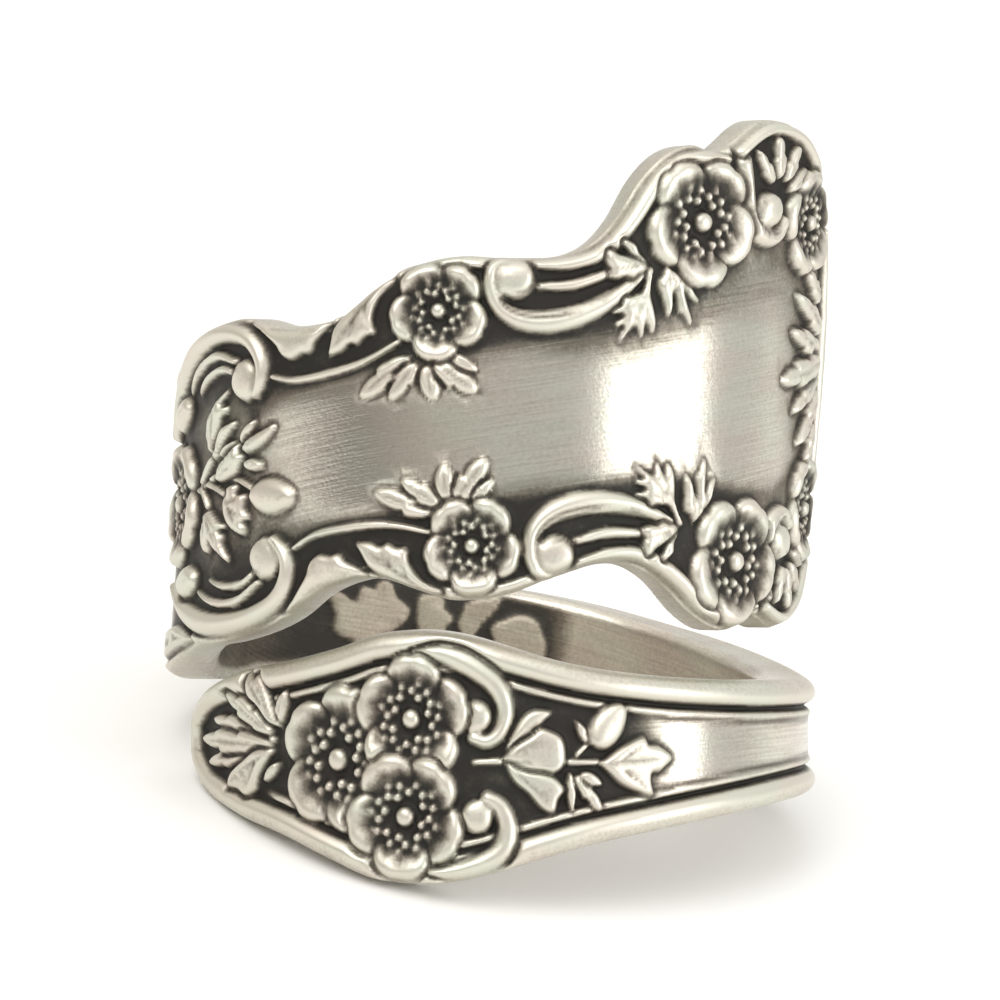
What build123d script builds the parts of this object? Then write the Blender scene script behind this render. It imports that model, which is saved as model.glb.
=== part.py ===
from build123d import *
import math
import os

import numpy as np
from scipy.spatial import ConvexHull, Delaunay, cKDTree

# A wrap ring bent from the handle of one silver flatware spoon. The handle is drawn flat, as it
# was struck: a narrow band with three blossoms, a plain shank, and a wide panel with a brushed
# field between blossoms and scrolls. It is then wound one and a half turns round the finger, the
# panel above the band. The relief is part of the one solid. All lengths are millimetres.
# On the flat handle s runs along it from the cut end to the tip, and v across it.

# finger hole and metal
finger_bore = 16.4        # across the hole inside the lower turn
bore_growth = 1.0         # how much wider the hole is inside the upper turn
wall = 1.4                # metal under the lowest ground of the relief
relief = 0.42             # height of the highest petals and scrolls over the ground
outer_round = 0.55        # rounding of the outer edge
inner_round = 0.40        # rounding of the edge that lies on the finger
reverse_relief = 0.22     # height of the flower on the inner face

# flat handle
tail_length = 14.5        # from the middle of the band to its cut end
band_width = 7.8          # over the blossoms of the band
shank_width = 3.7         # plain stretch round the back of the finger
panel_reach = 16.8        # from the middle of the panel to the tip
panel_width = 10.4        # over the two middle blossoms of the panel
tip_width = 16.0          # over the two lobes near the tip
band_run = 0.35           # of tail_length, past the table of the band to the plain shank
panel_run = 0.30          # of panel_reach, from the plain shank to the table of the panel
motif_module = 1.0        # drawing unit of leaves, scrolls and blossoms

# borders
shank_rim = 0.84          # width of the rounded rim along the band and the shank
panel_rim = 0.40          # width of the thin rim round the panel
thread_width = 0.30       # fine raised line inside the rim
thread_inset = 1.10       # from the edge to the middle of that line
thread_start = (-0.64, -0.56)   # where it begins, as shares of tail_length from the band's middle
plain_start = (0.25, 0.42)      # where the plain shank begins, as shares of tail_length
panel_start = (-1.00, -0.85)    # where the panel begins, as shares of panel_reach

# heights of the plain parts, as shares of the relief
shank_rim_height = 1.06   # crest of the rim along the band and the shank
panel_rim_height = 0.70   # crest of the thin rim round the panel
shank_height = 0.62       # plain shank between its threads, and the threads
field_height = 0.35       # brushed field of the panel
field_slope = 0.15        # half the width of the slope round the field, in millimetres

# one blossom of radius 1
petal_middle = 0.62       # from the boss to the middle of a petal
petal_reach = 0.38        # half length of a petal
petal_breadth = 0.43      # half width of a petal
cup_low = 0.22            # height of a petal at its foot
stamen_reach = 0.41       # from the boss to the ring of stamens
stamen_width = 0.12       # half width of that ring
stamen_height = 0.55
well_reach = 0.30         # the recess round the boss
well_height = 0.12
boss_reach = 0.17
boss_height = 0.80

# motifs
leaf_height = 0.80        # share of the relief
fine_height = 0.70        # share of the relief for strokes narrower than fine_stroke
fine_stroke = 0.20        # half width, in motif_module
eye_height = 1.10         # share of the relief at the eye of a scroll
eye_border = 0.35         # share of that height at the border of the eye

# winding
turn_gap = 0.9            # least clear height between the two turns
tip_flare = 0.075         # how much the tip leans out for each millimetre up
end_spring = 0.22         # how far the two ends stand off the round
limb_flare = 0.05         # how much the left limb leans out for each millimetre down
turn_shift = 0.29         # how far the upper turn stands to the left of the lower one
band_angle = 0.0          # degrees round the finger, 0 at the front, 90 at the right
panel_angle = 353.3
reverse_angle = 182.0     # middle of the flower on the inner face
front_angles = (-80, 92)  # where the two turns pass each other in front
growth_angles = (90, 270) # between these the hole widens and the upper turn comes to stand to the left
tip_angles = (375, 445)   # between these the tip comes to lean out and stand off
tail_angles = (40, 85)    # the same for the cut end, counted to the left of the front
limb_angles = (225, 265, 280, 320)   # the left limb comes to lean out, and comes back
climb_smoothing = 15      # steps of the centre line, on each side, that its climb is averaged over
neutral_height = 0.75     # where the handle keeps its length when it is wound, as a share of the relief

# facets
edge_step = 0.42          # along the ornate outline, twice as much along the plain shank
crest_step = 0.42         # along the crest and the feet of a scroll or leaf
grid_step = 0.14          # between the places where the relief is measured
coarse_step = 1.30        # between the points where the face is smooth
least_step = 0.12         # no two points of a face are nearer than this
row_step = 0.6            # how near points of an inset row may come, as a share of least_step
edge_clear = 0.3          # how near the outline, as a share of least_step
facet_error = 0.02        # height that a facet may be off before a point is added
refining_rounds = 14      # rounds in which those points are added
flank = 0.6               # where the slopes of broad strokes get a row of points too, as a share
broad_stroke = 0.24       # half width, in motif_module, from which a stroke has that row
outer_points = 6200       # most points of the outer face
inner_points = 1150       # most points of the face on the finger

# Centre line: degrees round the finger, share of the climb from the band to the panel
CLIMB = [
    (-85, 0.035), (-46, 0.020), (-23, 0.000), (0, 0.000), (23, 0.007), (46, 0.020), (69, 0.030),
    (90, 0.032), (102, 0.048), (144, 0.178), (166, 0.268), (200, 0.372), (225, 0.436),
    (246, 0.530), (270, 0.695), (285, 0.785), (312, 0.876), (353, 1.000), (400, 1.126), (455, 1.270),
]

# Half outline of the band: place as a share of tail_length, half width as a share of band_width
BAND_EDGE = [
    (-1.000, 0.000), (-0.985, 0.100), (-0.940, 0.165), (-0.897, 0.205), (-0.830, 0.245),
    (-0.690, 0.305), (-0.552, 0.352), (-0.414, 0.420), (-0.310, 0.480), (-0.207, 0.500),
    (-0.103, 0.485), (0.000, 0.442), (0.138, 0.374), (0.276, 0.327), (0.483, 0.283), (0.760, 0.250),
]

# Half outline of the panel: place as a share of panel_reach, half width as a share of panel_width
PANEL_EDGE = [
    (-1.310, 0.262), (-1.190, 0.338), (-1.071, 0.402), (-0.952, 0.440), (-0.833, 0.455),
    (-0.714, 0.462), (-0.613, 0.476), (-0.506, 0.474), (-0.417, 0.452), (-0.327, 0.402),
    (-0.238, 0.385), (-0.179, 0.400), (-0.119, 0.447), (-0.060, 0.490), (0.000, 0.502),
    (0.060, 0.500), (0.119, 0.481), (0.179, 0.466), (0.238, 0.457), (0.298, 0.476),
]

# Half outline of the tip: place as a share of panel_reach, half width as a share of tip_width
TIP_EDGE = [
    (0.357, 0.350), (0.417, 0.418), (0.476, 0.460), (0.536, 0.472), (0.595, 0.453),
    (0.637, 0.468), (0.685, 0.492), (0.732, 0.500), (0.810, 0.482), (0.869, 0.438),
    (0.911, 0.378), (0.946, 0.300), (0.976, 0.200), (0.994, 0.100), (1.000, 0.000),
]

# Brushed field of the panel: place as a share of panel_reach, half height as a share of panel_width
FIELD_EDGE = [
    (-0.399, 0.020), (-0.375, 0.190), (-0.298, 0.216), (-0.149, 0.226), (-0.060, 0.236),
    (0.119, 0.240), (0.357, 0.250), (0.476, 0.288), (0.565, 0.336), (0.685, 0.346),
    (0.750, 0.280), (0.792, 0.050),
]

# Strokes of the ornament, in motif_module from the anchor of their group: points (along, across),
# then the half widths at even steps along the stroke
CORNER_SCROLL = [
    ([(0.35, -0.68), (0.85, -0.13), (0.85, 0.62), (0.25, 1.27), (-0.95, 1.62), (-2.35, 1.62),
      (-3.85, 1.32), (-5.35, 0.62), (-6.45, -0.38)], (0.15, 0.30, 0.34, 0.37, 0.41, 0.42, 0.40, 0.33, 0.20)),
    ([(-3.75, 0.47), (-2.75, 0.95), (-1.60, 1.05), (-0.45, 0.68)], (0.08, 0.14, 0.14, 0.10)),
    ([(-2.95, 0.17), (-2.15, 0.55), (-1.35, 0.60), (-0.55, 0.35)], (0.08, 0.13, 0.14, 0.10)),
]
RIM_THREAD = [
    ([(-2.20, -1.22), (-1.20, -1.55), (0.20, -1.58), (1.50, -1.45), (2.80, -1.00)],
     (0.03, 0.10, 0.11, 0.10, 0.05)),
    ([(-2.60, 0.38), (-1.60, 0.00), (-0.30, -0.28), (0.70, -0.15), (1.80, 0.30), (2.70, 0.75)],
     (0.12, 0.24, 0.26, 0.26, 0.22, 0.15)),
]
VOLUTE = [
    ([(-0.20, 0.70), (-0.65, 0.55), (-0.78, -0.05), (-0.55, -0.75), (0.10, -1.20), (1.10, -1.35),
      (2.30, -1.17), (3.30, -0.75), (4.20, -0.20)], (0.10, 0.20, 0.27, 0.34, 0.38, 0.36, 0.30, 0.22, 0.12)),
    ([(0.75, -0.20), (1.80, -0.30), (3.00, -0.10), (3.90, 0.05)], (0.12, 0.17, 0.14, 0.05)),
    ([(0.50, 0.45), (1.90, 0.33), (3.00, 0.50)], (0.14, 0.20, 0.10)),
]
END_CURL = [
    ([(-1.00, 1.85), (-0.95, 0.95), (-0.90, -0.05), (-0.45, -0.75), (0.25, -0.90), (0.75, -0.45)],
     (0.25, 0.26, 0.26, 0.28, 0.24, 0.12)),
]
SPRAY_STEMS = [
    ([(0.00, -0.05), (1.40, -0.08), (2.40, 0.20)], (0.12, 0.10, 0.10)),
    ([(0.10, 0.00), (1.10, 0.60), (1.90, 1.00)], (0.10, 0.09, 0.07)),
    ([(0.50, -0.15), (1.20, -0.40), (1.90, -0.85)], (0.10, 0.09, 0.07)),
    ([(1.60, -0.20), (2.50, -0.45), (3.40, -0.75)], (0.09, 0.09, 0.09)),
]
BAND_SCROLL_HIGH = [
    ([(-2.38, 2.35), (-1.18, 2.22), (-0.08, 1.85), (0.72, 1.20), (1.04, 0.50), (0.87, -0.25),
      (0.32, -0.62), (-0.18, -0.55)], (0.20, 0.30, 0.32, 0.30, 0.27, 0.25, 0.20, 0.12)),
]
BAND_SCROLL_LOW = [
    ([(-0.50, 1.80), (0.40, 1.55), (0.90, 1.05), (1.02, 0.45), (0.80, -0.20), (0.30, -0.57),
      (-0.30, -0.50)], (0.25, 0.30, 0.28, 0.26, 0.24, 0.18, 0.10)),
]
OPEN_BUD = [
    ([(-1.00, -0.17), (0.10, -0.20)], (0.08, 0.12)),
    ([(0.35, -0.07), (0.60, 0.73), (1.50, 1.18)], (0.10, 0.22, 0.20)),
    ([(0.10, -0.37), (0.60, -1.17), (1.60, -1.67)], (0.10, 0.30, 0.18)),
    ([(0.05, -0.20), (1.00, -0.07), (1.75, -0.07)], (0.08, 0.55, 0.62)),
]

# Leaves, in motif_module from the anchor of their group: base (along, across), tip, half width
BUD_LEAVES = [((-1.40, 0.17), (1.40, -0.08), 0.52)]
RIM_LEAVES = [((0.30, -0.40), (-1.50, -0.72), 0.38), ((2.30, 0.40), (0.20, -1.05), 0.60)]
BLOSSOM_LEAVES = [
    ((-1.20, -1.25), (-2.80, -2.15), 0.27), ((-1.00, -1.45), (-1.90, -2.35), 0.20),
    ((-0.75, -1.60), (-0.60, -2.65), 0.19), ((-0.40, -1.50), (0.80, -2.55), 0.29),
    ((0.20, -1.40), (0.90, -1.95), 0.16),
]
CLUSTER_LEAVES = [
    ((-0.10, 0.20), (-1.65, 0.70), 0.30), ((-0.50, 0.40), (-0.85, 1.20), 0.20),
    ((-0.10, -0.15), (-1.55, -0.95), 0.26), ((-0.15, -0.30), (-1.25, -1.60), 0.26),
    ((-0.05, -0.40), (-0.40, -1.70), 0.22), ((0.30, 0.05), (0.15, -1.40), 0.26),
    ((0.50, 0.00), (1.10, -1.70), 0.27), ((0.60, 0.00), (1.50, -1.15), 0.20),
]
FAN_LEAVES = [
    ((0.25, 0.75), (-0.40, 1.90), 0.24), ((0.55, 0.85), (0.65, 2.30), 0.28),
    ((0.85, 0.75), (1.75, 1.85), 0.26), ((1.05, 0.45), (2.35, 1.05), 0.24),
]
TIP_LEAVES = [
    ((0.00, 0.15), (-2.80, 1.30), 0.42), ((-0.10, 0.90), (-2.40, 2.40), 0.38),
    ((-0.50, 1.90), (-1.70, 3.20), 0.30), ((0.10, 0.00), (-3.60, 0.00), 0.50),
]
SPRAY_LEAVES = [
    ((0.80, 0.80), (2.35, 2.40), 0.38), ((0.70, 0.90), (1.20, 2.00), 0.20),
    ((1.50, 0.80), (2.65, 1.35), 0.22), ((1.30, 0.05), (3.10, 0.70), 0.42),
    ((3.00, 0.65), (4.65, 1.10), 0.30), ((2.95, 0.90), (3.75, 1.50), 0.16),
    ((3.00, 0.30), (3.90, 0.05), 0.18), ((1.70, -0.70), (2.60, -2.00), 0.42),
    ((1.90, -0.60), (2.90, -1.35), 0.27), ((0.20, -1.00), (1.70, -2.65), 0.33),
    ((-0.10, -1.30), (0.35, -2.30), 0.20), ((3.30, -0.75), (5.05, -1.15), 0.54),
]
END_SPRAY = [
    ((-0.10, 0.73), (-1.50, 2.18), 0.42), ((0.10, 0.83), (0.55, 1.78), 0.27),
    ((-0.10, 0.43), (-2.40, 1.43), 0.35), ((0.00, 0.18), (-3.70, 0.73), 0.40),
    ((-0.10, 0.03), (-4.80, 0.03), 0.45), ((-0.70, -0.07), (-4.10, -0.72), 0.38),
    ((-0.20, -0.27), (-2.45, -1.47), 0.40), ((-0.50, -0.77), (-1.60, -1.72), 0.27),
    ((0.20, -0.47), (-0.50, -1.12), 0.20),
]
SHANK_SPRAY = [
    ((-0.50, 0.38), (0.50, 1.48), 0.44), ((-0.45, 0.43), (-0.80, 0.98), 0.16),
    ((-1.00, -0.57), (0.05, -1.02), 0.16), ((-0.90, -0.87), (0.05, -1.87), 0.27),
    ((-1.00, -0.22), (2.55, -0.12), 0.42), ((0.00, -0.17), (1.55, 0.48), 0.33),
    ((0.00, -0.37), (1.70, -1.22), 0.36),
]
REVERSE_LEAVES = [
    ((2.20, 0.00), (4.60, 0.00), 0.55), ((2.20, 0.20), (4.00, 1.10), 0.42),
    ((2.20, -0.20), (4.00, -1.10), 0.42),
]

# Groups of the panel: strokes, leaves, along as a share of panel_reach, across as a share of the
# half width there, radius of the scroll's eye in motif_module. Each stands on both sides.
PANEL_GROUPS = [
    (CORNER_SCROLL, [], -0.437, 0.605, 0.66),
    ([], BUD_LEAVES, -0.702, 0.495, 0.0),
    (RIM_THREAD, RIM_LEAVES, -0.238, 1.000, 0.0),
    ([], BLOSSOM_LEAVES, 0.000, 0.693, 0.0),
    (VOLUTE, [], 0.149, 0.842, 0.70),
    ([], CLUSTER_LEAVES, 0.417, 0.583, 0.0),
    (END_CURL, FAN_LEAVES, 0.700, 0.662, 0.62),
    ([], TIP_LEAVES, 0.935, 0.000, 0.0),
]

# Groups of the band: strokes, leaves, along as a share of tail_length, across as a share of the
# half width there, radius of the eye, side
BAND_GROUPS = [
    ([], END_SPRAY, -0.586, 0.000, 0.0, 1),
    (BAND_SCROLL_HIGH, [], -0.057, 0.340, 0.56, 1),
    (BAND_SCROLL_LOW, [], -0.055, 0.475, 0.52, -1),
    (OPEN_BUD, [], 0.000, 0.000, 0.0, 1),
    ([], SHANK_SPRAY, 0.221, 0.000, 0.0, 1),
]

# The spray of leaves at the left of the panel stands once
spray_place = -0.643

# Blossoms: along and across as shares, as above, radius in motif_module, turn in degrees
PANEL_BLOSSOMS = [
    (-0.774, 0.000, 2.10, 36), (0.001, 0.700, 1.62, 40), (-0.003, -0.685, 1.62, -24),
    (0.533, 0.682, 2.10, 48), (0.545, -0.722, 2.15, -22), (0.851, 0.623, 1.75, 20),
    (0.851, -0.623, 1.75, -20),
]
BAND_BLOSSOMS = [(-0.397, -0.050, 2.40, 12), (-0.214, 0.303, 2.15, 18), (-0.228, -0.467, 2.10, -30)]
REVERSE_BLOSSOM = (1.40, 90)   # radius in motif_module, turn in degrees
PETALS = 5


def gentle_step(x, low, high):
    t = np.clip((x - low) / (high - low), 0, 1)
    return t * t * (3 - 2 * t)


def ridge_profile(x):
    """Height across a ridge, 1 on its crest and 0 from its edge on."""
    return np.clip(1 - x**2, 0, 1)


def smooth_line(points, count):
    """A smooth curve through the points, as count points evenly spaced along it."""
    p = np.asarray(points, float)
    ends = np.vstack([2 * p[0] - p[1], p, 2 * p[-1] - p[-2]])
    t = np.linspace(0, 1, 9)[:-1, None]
    runs = []
    for a, b, c, d in zip(ends, ends[1:], ends[2:], ends[3:]):
        runs.append(0.5 * (2 * b + (c - a) * t + (2 * a - 5 * b + 4 * c - d) * t**2
                           + (3 * b - a - 3 * c + d) * t**3))
    line = np.vstack(runs + [p[-1:]])
    length = np.r_[0, np.cumsum(np.linalg.norm(np.diff(line, axis=0), axis=1))]
    at = np.linspace(0, length[-1], count)
    return np.column_stack([np.interp(at, length, column) for column in line.T])


def table_curve(x, rows):
    """A smooth curve through the rows of a table, with no overshoot between them."""
    xs, ys = np.array(rows, float).T
    slope = np.diff(ys) / np.diff(xs)
    same_way = slope[:-1] * slope[1:] > 0
    middle = np.where(same_way, 2 * slope[:-1] * slope[1:] / np.where(same_way, slope[:-1] + slope[1:], 1), 0)
    grade = np.r_[slope[0], middle, slope[-1]]
    i = np.clip(np.searchsorted(xs, x) - 1, 0, len(xs) - 2)
    h = xs[i + 1] - xs[i]
    t = (x - xs[i]) / h
    return ((1 + 2 * t) * (1 - t)**2 * ys[i] + t * (1 - t)**2 * h * grade[i]
            + t * t * (3 - 2 * t) * ys[i + 1] + t * t * (t - 1) * h * grade[i + 1])


class Handle:
    """The flat handle and the way it is wound: outline, centre line and radius."""

    def __init__(self):
        self.ground_radius = (finger_bore + bore_growth) / 2 + wall
        self.flat_radius = self.ground_radius + neutral_height * relief
        self.angles = np.linspace(CLIMB[0][0], CLIMB[-1][0], 1081)
        share = table_curve(self.angles, CLIMB)
        padded = np.pad(share, climb_smoothing, mode="reflect", reflect_type="odd")
        window = 2 * climb_smoothing + 1
        self.share = np.convolve(padded, np.full(window, 1 / window), "valid")
        self.rise = band_width + panel_width
        for _ in range(4):
            self.lay_out()
            self.rise = self.rise_for_gap()
        self.lay_out()

    def lay_out(self):
        """Length along the handle at each angle for the present rise, and the outline on it."""
        run = np.radians(np.diff(self.angles)) * self.flat_radius
        self.length = np.r_[0, np.cumsum(np.hypot(run, np.diff(self.share) * self.rise))]
        self.height = (self.share - 0.5) * self.rise
        slope = np.gradient(self.height, np.radians(self.angles) * self.flat_radius)
        self.slope = np.arctan(slope)
        self.band_s = np.interp(band_angle, self.angles, self.length)
        self.panel_s = np.interp(panel_angle, self.angles, self.length)
        band = [(self.band_s + a * tail_length, w * band_width) for a, w in BAND_EDGE]
        panel = [(self.panel_s + a * panel_reach, w * panel_width) for a, w in PANEL_EDGE]
        tip = [(self.panel_s + a * panel_reach, w * tip_width) for a, w in TIP_EDGE]
        a, b = band[-1][0] + band_run * tail_length, panel[0][0] - panel_run * panel_reach
        shank = [(x, shank_width / 2) for x in (a, (a + b) / 2, b)]
        self.edge = smooth_line(band + shank + panel + tip, 1600)

    def rise_for_gap(self):
        """The rise that leaves turn_gap where the upper turn comes nearest to the lower one."""
        front = self.angles[(self.angles > front_angles[0]) & (self.angles < front_angles[1])]
        low_s, high_s = (np.interp(front + turn, self.angles, self.length) for turn in (0, 360))
        high_s = np.minimum(high_s, self.edge[-1, 0])
        low, high = (np.interp(front + turn, self.angles, self.share) for turn in (0, 360))
        return np.max((turn_gap + self.half_width(low_s) + self.half_width(high_s)) / (high - low))

    def half_width(self, s):
        return np.interp(s, self.edge[:, 0], self.edge[:, 1], left=0, right=0)

    def on_band(self, s):
        return (s - self.band_s) / tail_length

    def on_panel(self, s):
        return (s - self.panel_s) / panel_reach

    def panel_share(self, s):
        """0 along the band and the shank, 1 on the panel."""
        return gentle_step(self.on_panel(s), *panel_start)

    def plain_share(self, s):
        """1 along the plain shank, 0 on the ornate band and panel."""
        return gentle_step(self.on_band(s), *plain_start) * (1 - self.panel_share(s))

    def rim_width(self, s):
        """Width of the raised rim: full along the band and the shank, thin round the panel."""
        return shank_rim + self.panel_share(s) * (panel_rim - shank_rim)

    def rim_height(self, s):
        return relief * (shank_rim_height + self.panel_share(s) * (panel_rim_height - shank_rim_height))

    def thread_share(self, s):
        """1 where a thread runs inside the rim, 0 at the tail's leaves and on the panel."""
        return gentle_step(self.on_band(s), *thread_start) * (1 - self.panel_share(s))

    def outline_points(self):
        """Points along the whole outline, from the tip round the cut end, closer where it is ornate."""
        gaps = np.linalg.norm(np.diff(self.edge, axis=0), axis=1)
        middle = (self.edge[1:, 0] + self.edge[:-1, 0]) / 2
        steps = np.r_[0, np.cumsum(gaps / edge_step / (1 + self.plain_share(middle)))]
        at = np.linspace(0, steps[-1], int(steps[-1]))
        side = np.column_stack([np.interp(at, steps, column) for column in self.edge.T])
        return np.vstack([side, side[-2:0:-1] * [1, -1]])

    def wind(self, s, v, h):
        """Flat places, with their height over the ground, as points of the wound ring."""
        turn = np.interp(s, self.length, self.angles)
        slope = np.interp(s, self.length, self.slope)
        angle = np.radians(turn) - v * np.sin(slope) / self.flat_radius
        z = np.interp(s, self.length, self.height) + v * np.cos(slope)
        upper = gentle_step(turn, *growth_angles)
        tip, tail = gentle_step(turn, *tip_angles), gentle_step(-turn, *tail_angles)
        limb = gentle_step(turn, *limb_angles[:2]) * (1 - gentle_step(turn, *limb_angles[2:]))
        flare = v * (tip_flare * tip - limb_flare * limb) + end_spring * (tip + tail)
        r = self.ground_radius + bore_growth / 2 * (upper - 1) + flare + h
        shift = -turn_shift * upper
        return np.column_stack([r * np.sin(angle) + shift, -r * np.cos(angle), z])


class Ornament:
    """Raised motifs on a flat face, measured as heights over its ground."""

    def __init__(self, height):
        self.top = height
        self.strokes, self.domes, self.blossoms = [], [], []

    def stroke(self, points, half_widths, share):
        count = max(2, 4 * (len(points) - 1) + 1) if len(points) > 2 else 7
        line = smooth_line(points, count)
        widths = np.interp(np.linspace(0, 1, count), np.linspace(0, 1, len(half_widths)), half_widths)
        self.strokes.append((line, widths, share * self.top))

    def leaf(self, base, tip, half_width):
        taper = [0.35, 0.75, 0.97, 1.0, 0.85, 0.5, 0.06]
        self.stroke([base, tip], [half_width * t for t in taper], leaf_height)

    def group(self, strokes, leaves, spot, side, eye):
        """One group of strokes and leaves at its anchor, mirrored across for side -1."""
        def at(point):
            return spot[0] + motif_module * point[0], side * (spot[1] + motif_module * point[1])
        for points, half_widths in strokes:
            share = fine_height if max(half_widths) < fine_stroke else 1.0
            self.stroke([at(p) for p in points], [motif_module * w for w in half_widths], share)
        for base, tip, half_width in leaves:
            self.leaf(at(base), at(tip), motif_module * half_width)
        if eye:
            self.domes.append((at((0, 0)), motif_module * eye, eye_height * self.top))

    def seed_rows(self):
        """Rows of points on the boss and petals of blossoms, on eyes, and along crests, feet and flanks of
        strokes, each with the height that its own motif has there."""
        rows = []
        for (x, y), radius, turn in self.blossoms:
            seeds = blossom_seeds(turn)
            top = self.top * blossom_shape(*seeds.T, turn)[1]
            rows.append(np.column_stack([radius * seeds + (x, y), top]))
        for (x, y), radius, top in self.domes:
            for r, count in ((0, 1), (0.6, 6), (1, 9)):
                a = np.arange(count) * math.tau / count
                rows.append(np.column_stack([x + r * radius * np.cos(a), y + r * radius * np.sin(a),
                                             np.full(count, top * (1 - r**4))]))
        for across in (0, 1, -1, flank, -flank):
            for line, widths, top in self.strokes:
                if abs(across) == flank and widths.max() < broad_stroke * motif_module:
                    continue
                length = np.linalg.norm(np.diff(line, axis=0), axis=1).sum()
                row = smooth_line(np.column_stack([line, widths]), max(3, round(length / crest_step) + 1))
                along = np.gradient(row[:, :2], axis=0)
                normal = along[:, ::-1] * [-1, 1] / np.linalg.norm(along, axis=1)[:, None]
                rows.append(np.column_stack([row[:, :2] + across * row[:, 2:] * normal,
                                             np.full(len(row), top * ridge_profile(across))]))
        return np.vstack(rows)

    def height(self, s, v, ground):
        """The ground with every motif on it. A blossom covers what lies under it."""
        h = ground.copy()
        for line, widths, top in self.strokes:
            margin = widths.max()
            low, high = line.min(axis=0) - margin, line.max(axis=0) + margin
            k = np.nonzero((s > low[0]) & (s < high[0]) & (v > low[1]) & (v < high[1]))[0]
            for (x0, y0), (x1, y1), w0, w1 in zip(line, line[1:], widths, widths[1:]):
                dx, dy = x1 - x0, y1 - y0
                t = np.clip(((s[k] - x0) * dx + (v[k] - y0) * dy) / (dx * dx + dy * dy), 0, 1)
                off = np.hypot(s[k] - x0 - t * dx, v[k] - y0 - t * dy) / (w0 + t * (w1 - w0))
                h[k] = np.maximum(h[k], top * ridge_profile(off))
        for (x, y), radius, top in self.domes:
            off = np.hypot(s - x, v - y) / radius
            k = off < 1
            crown = eye_border + (1 - eye_border) * np.sqrt(1 - off[k]**2)
            h[k] = np.maximum(h[k], top * crown * ridge_profile(off[k]**2))
        for (x, y), radius, turn in self.blossoms:
            k = np.nonzero(np.hypot(s - x, v - y) < 1.1 * radius)[0]
            petals, shape = blossom_shape((s[k] - x) / radius, (v[k] - y) / radius, turn)
            h[k] = np.where(petals, self.top * shape, h[k])
        return h


def blossom_shape(x, y, turn):
    """Where a blossom of radius 1 lies, and its height: cupped petals, a ring of stamens, a boss."""
    petals = np.zeros_like(x)
    for k in range(PETALS):
        a = math.radians(turn) + k * math.tau / PETALS
        along = x * math.cos(a) + y * math.sin(a) - petal_middle
        across = y * math.cos(a) - x * math.sin(a)
        off = np.hypot(along / petal_reach, across / petal_breadth)
        petals = np.maximum(petals, np.clip(1 - off**5, 0, 1))
    r = np.hypot(x, y)
    shape = petals * (cup_low + (1 - cup_low) * gentle_step(r, 0.38, 0.82))
    shape = np.maximum(shape, stamen_height * ridge_profile((r - stamen_reach) / stamen_width))
    shape = np.where(r < well_reach, well_height, shape)
    shape = np.maximum(shape, boss_height * ridge_profile(r / boss_reach))
    return (petals > 0) | (r < stamen_reach + stamen_width), shape


def blossom_seeds(turn):
    """Points on a blossom of radius 1: boss, recess, stamens, the cup and the border of each petal."""
    rings = ((0, 1), (boss_reach, 6), (well_reach, 9), (stamen_reach, 11))
    seeds = [(r * math.cos(a), r * math.sin(a)) for r, count in rings
             for a in np.arange(count) * math.tau / count]
    for k in range(PETALS):
        a = math.radians(turn) + k * math.tau / PETALS
        notch = a + math.pi / PETALS
        seeds.append((petal_middle * math.cos(notch), petal_middle * math.sin(notch)))
        for reach, spread, count in ((0.62, 90, 4), (0.82, 115, 7), (1.0, 125, 9)):
            for b in np.radians(np.linspace(-spread, spread, count)):
                along = petal_middle + petal_reach * reach * math.cos(b)
                across = petal_breadth * reach * math.sin(b)
                seeds.append((along * math.cos(a) - across * math.sin(a),
                              along * math.sin(a) + across * math.cos(a)))
    return np.array(seeds)


def front_ornament(handle):
    """The motifs of the outer face."""
    ornament = Ornament(relief)

    def spot(origin, length, along, across):
        s = origin + along * length
        return s, across * handle.half_width(s)
    for strokes, leaves, along, across, eye in PANEL_GROUPS:
        for side in (1, -1):
            ornament.group(strokes, leaves, spot(handle.panel_s, panel_reach, along, across), side, eye)
    ornament.group(SPRAY_STEMS, SPRAY_LEAVES, spot(handle.panel_s, panel_reach, spray_place, 0), 1, 0)
    for strokes, leaves, along, across, eye, side in BAND_GROUPS:
        ornament.group(strokes, leaves, spot(handle.band_s, tail_length, along, across), side, eye)
    for origin, length, rows in ((handle.panel_s, panel_reach, PANEL_BLOSSOMS),
                                 (handle.band_s, tail_length, BAND_BLOSSOMS)):
        for along, across, radius, turn in rows:
            ornament.blossoms.append((spot(origin, length, along, across), motif_module * radius, turn))
    return ornament


def front_ground(handle, s, v, inset):
    """Ground of the outer face, with the brushed field, the plain shank, the threads and the rims."""
    places, halves = np.array(FIELD_EDGE).T
    field = np.interp(handle.on_panel(s), places, halves * panel_width, left=-1, right=-1) - np.abs(v)
    h = field_height * relief * gentle_step(field, -field_slope, field_slope)
    inner_edge = thread_inset + thread_width / 2
    plain = handle.plain_share(s) * gentle_step(inset, inner_edge, inner_edge + thread_width)
    thread = handle.thread_share(s) * ridge_profile(2 * (inset - thread_inset) / thread_width)
    h = np.maximum(h, shank_height * relief * np.maximum(plain, thread))
    half = handle.rim_width(s) / 2
    return np.maximum(h, handle.rim_height(s) * ridge_profile(np.maximum(0, inset - half) / half))


def rounding(inset, radius):
    """How far a rounded edge falls off at the given distance inside the outline."""
    return radius - np.sqrt(np.clip(radius**2 - (radius - np.minimum(inset, radius))**2, 0, None))


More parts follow.
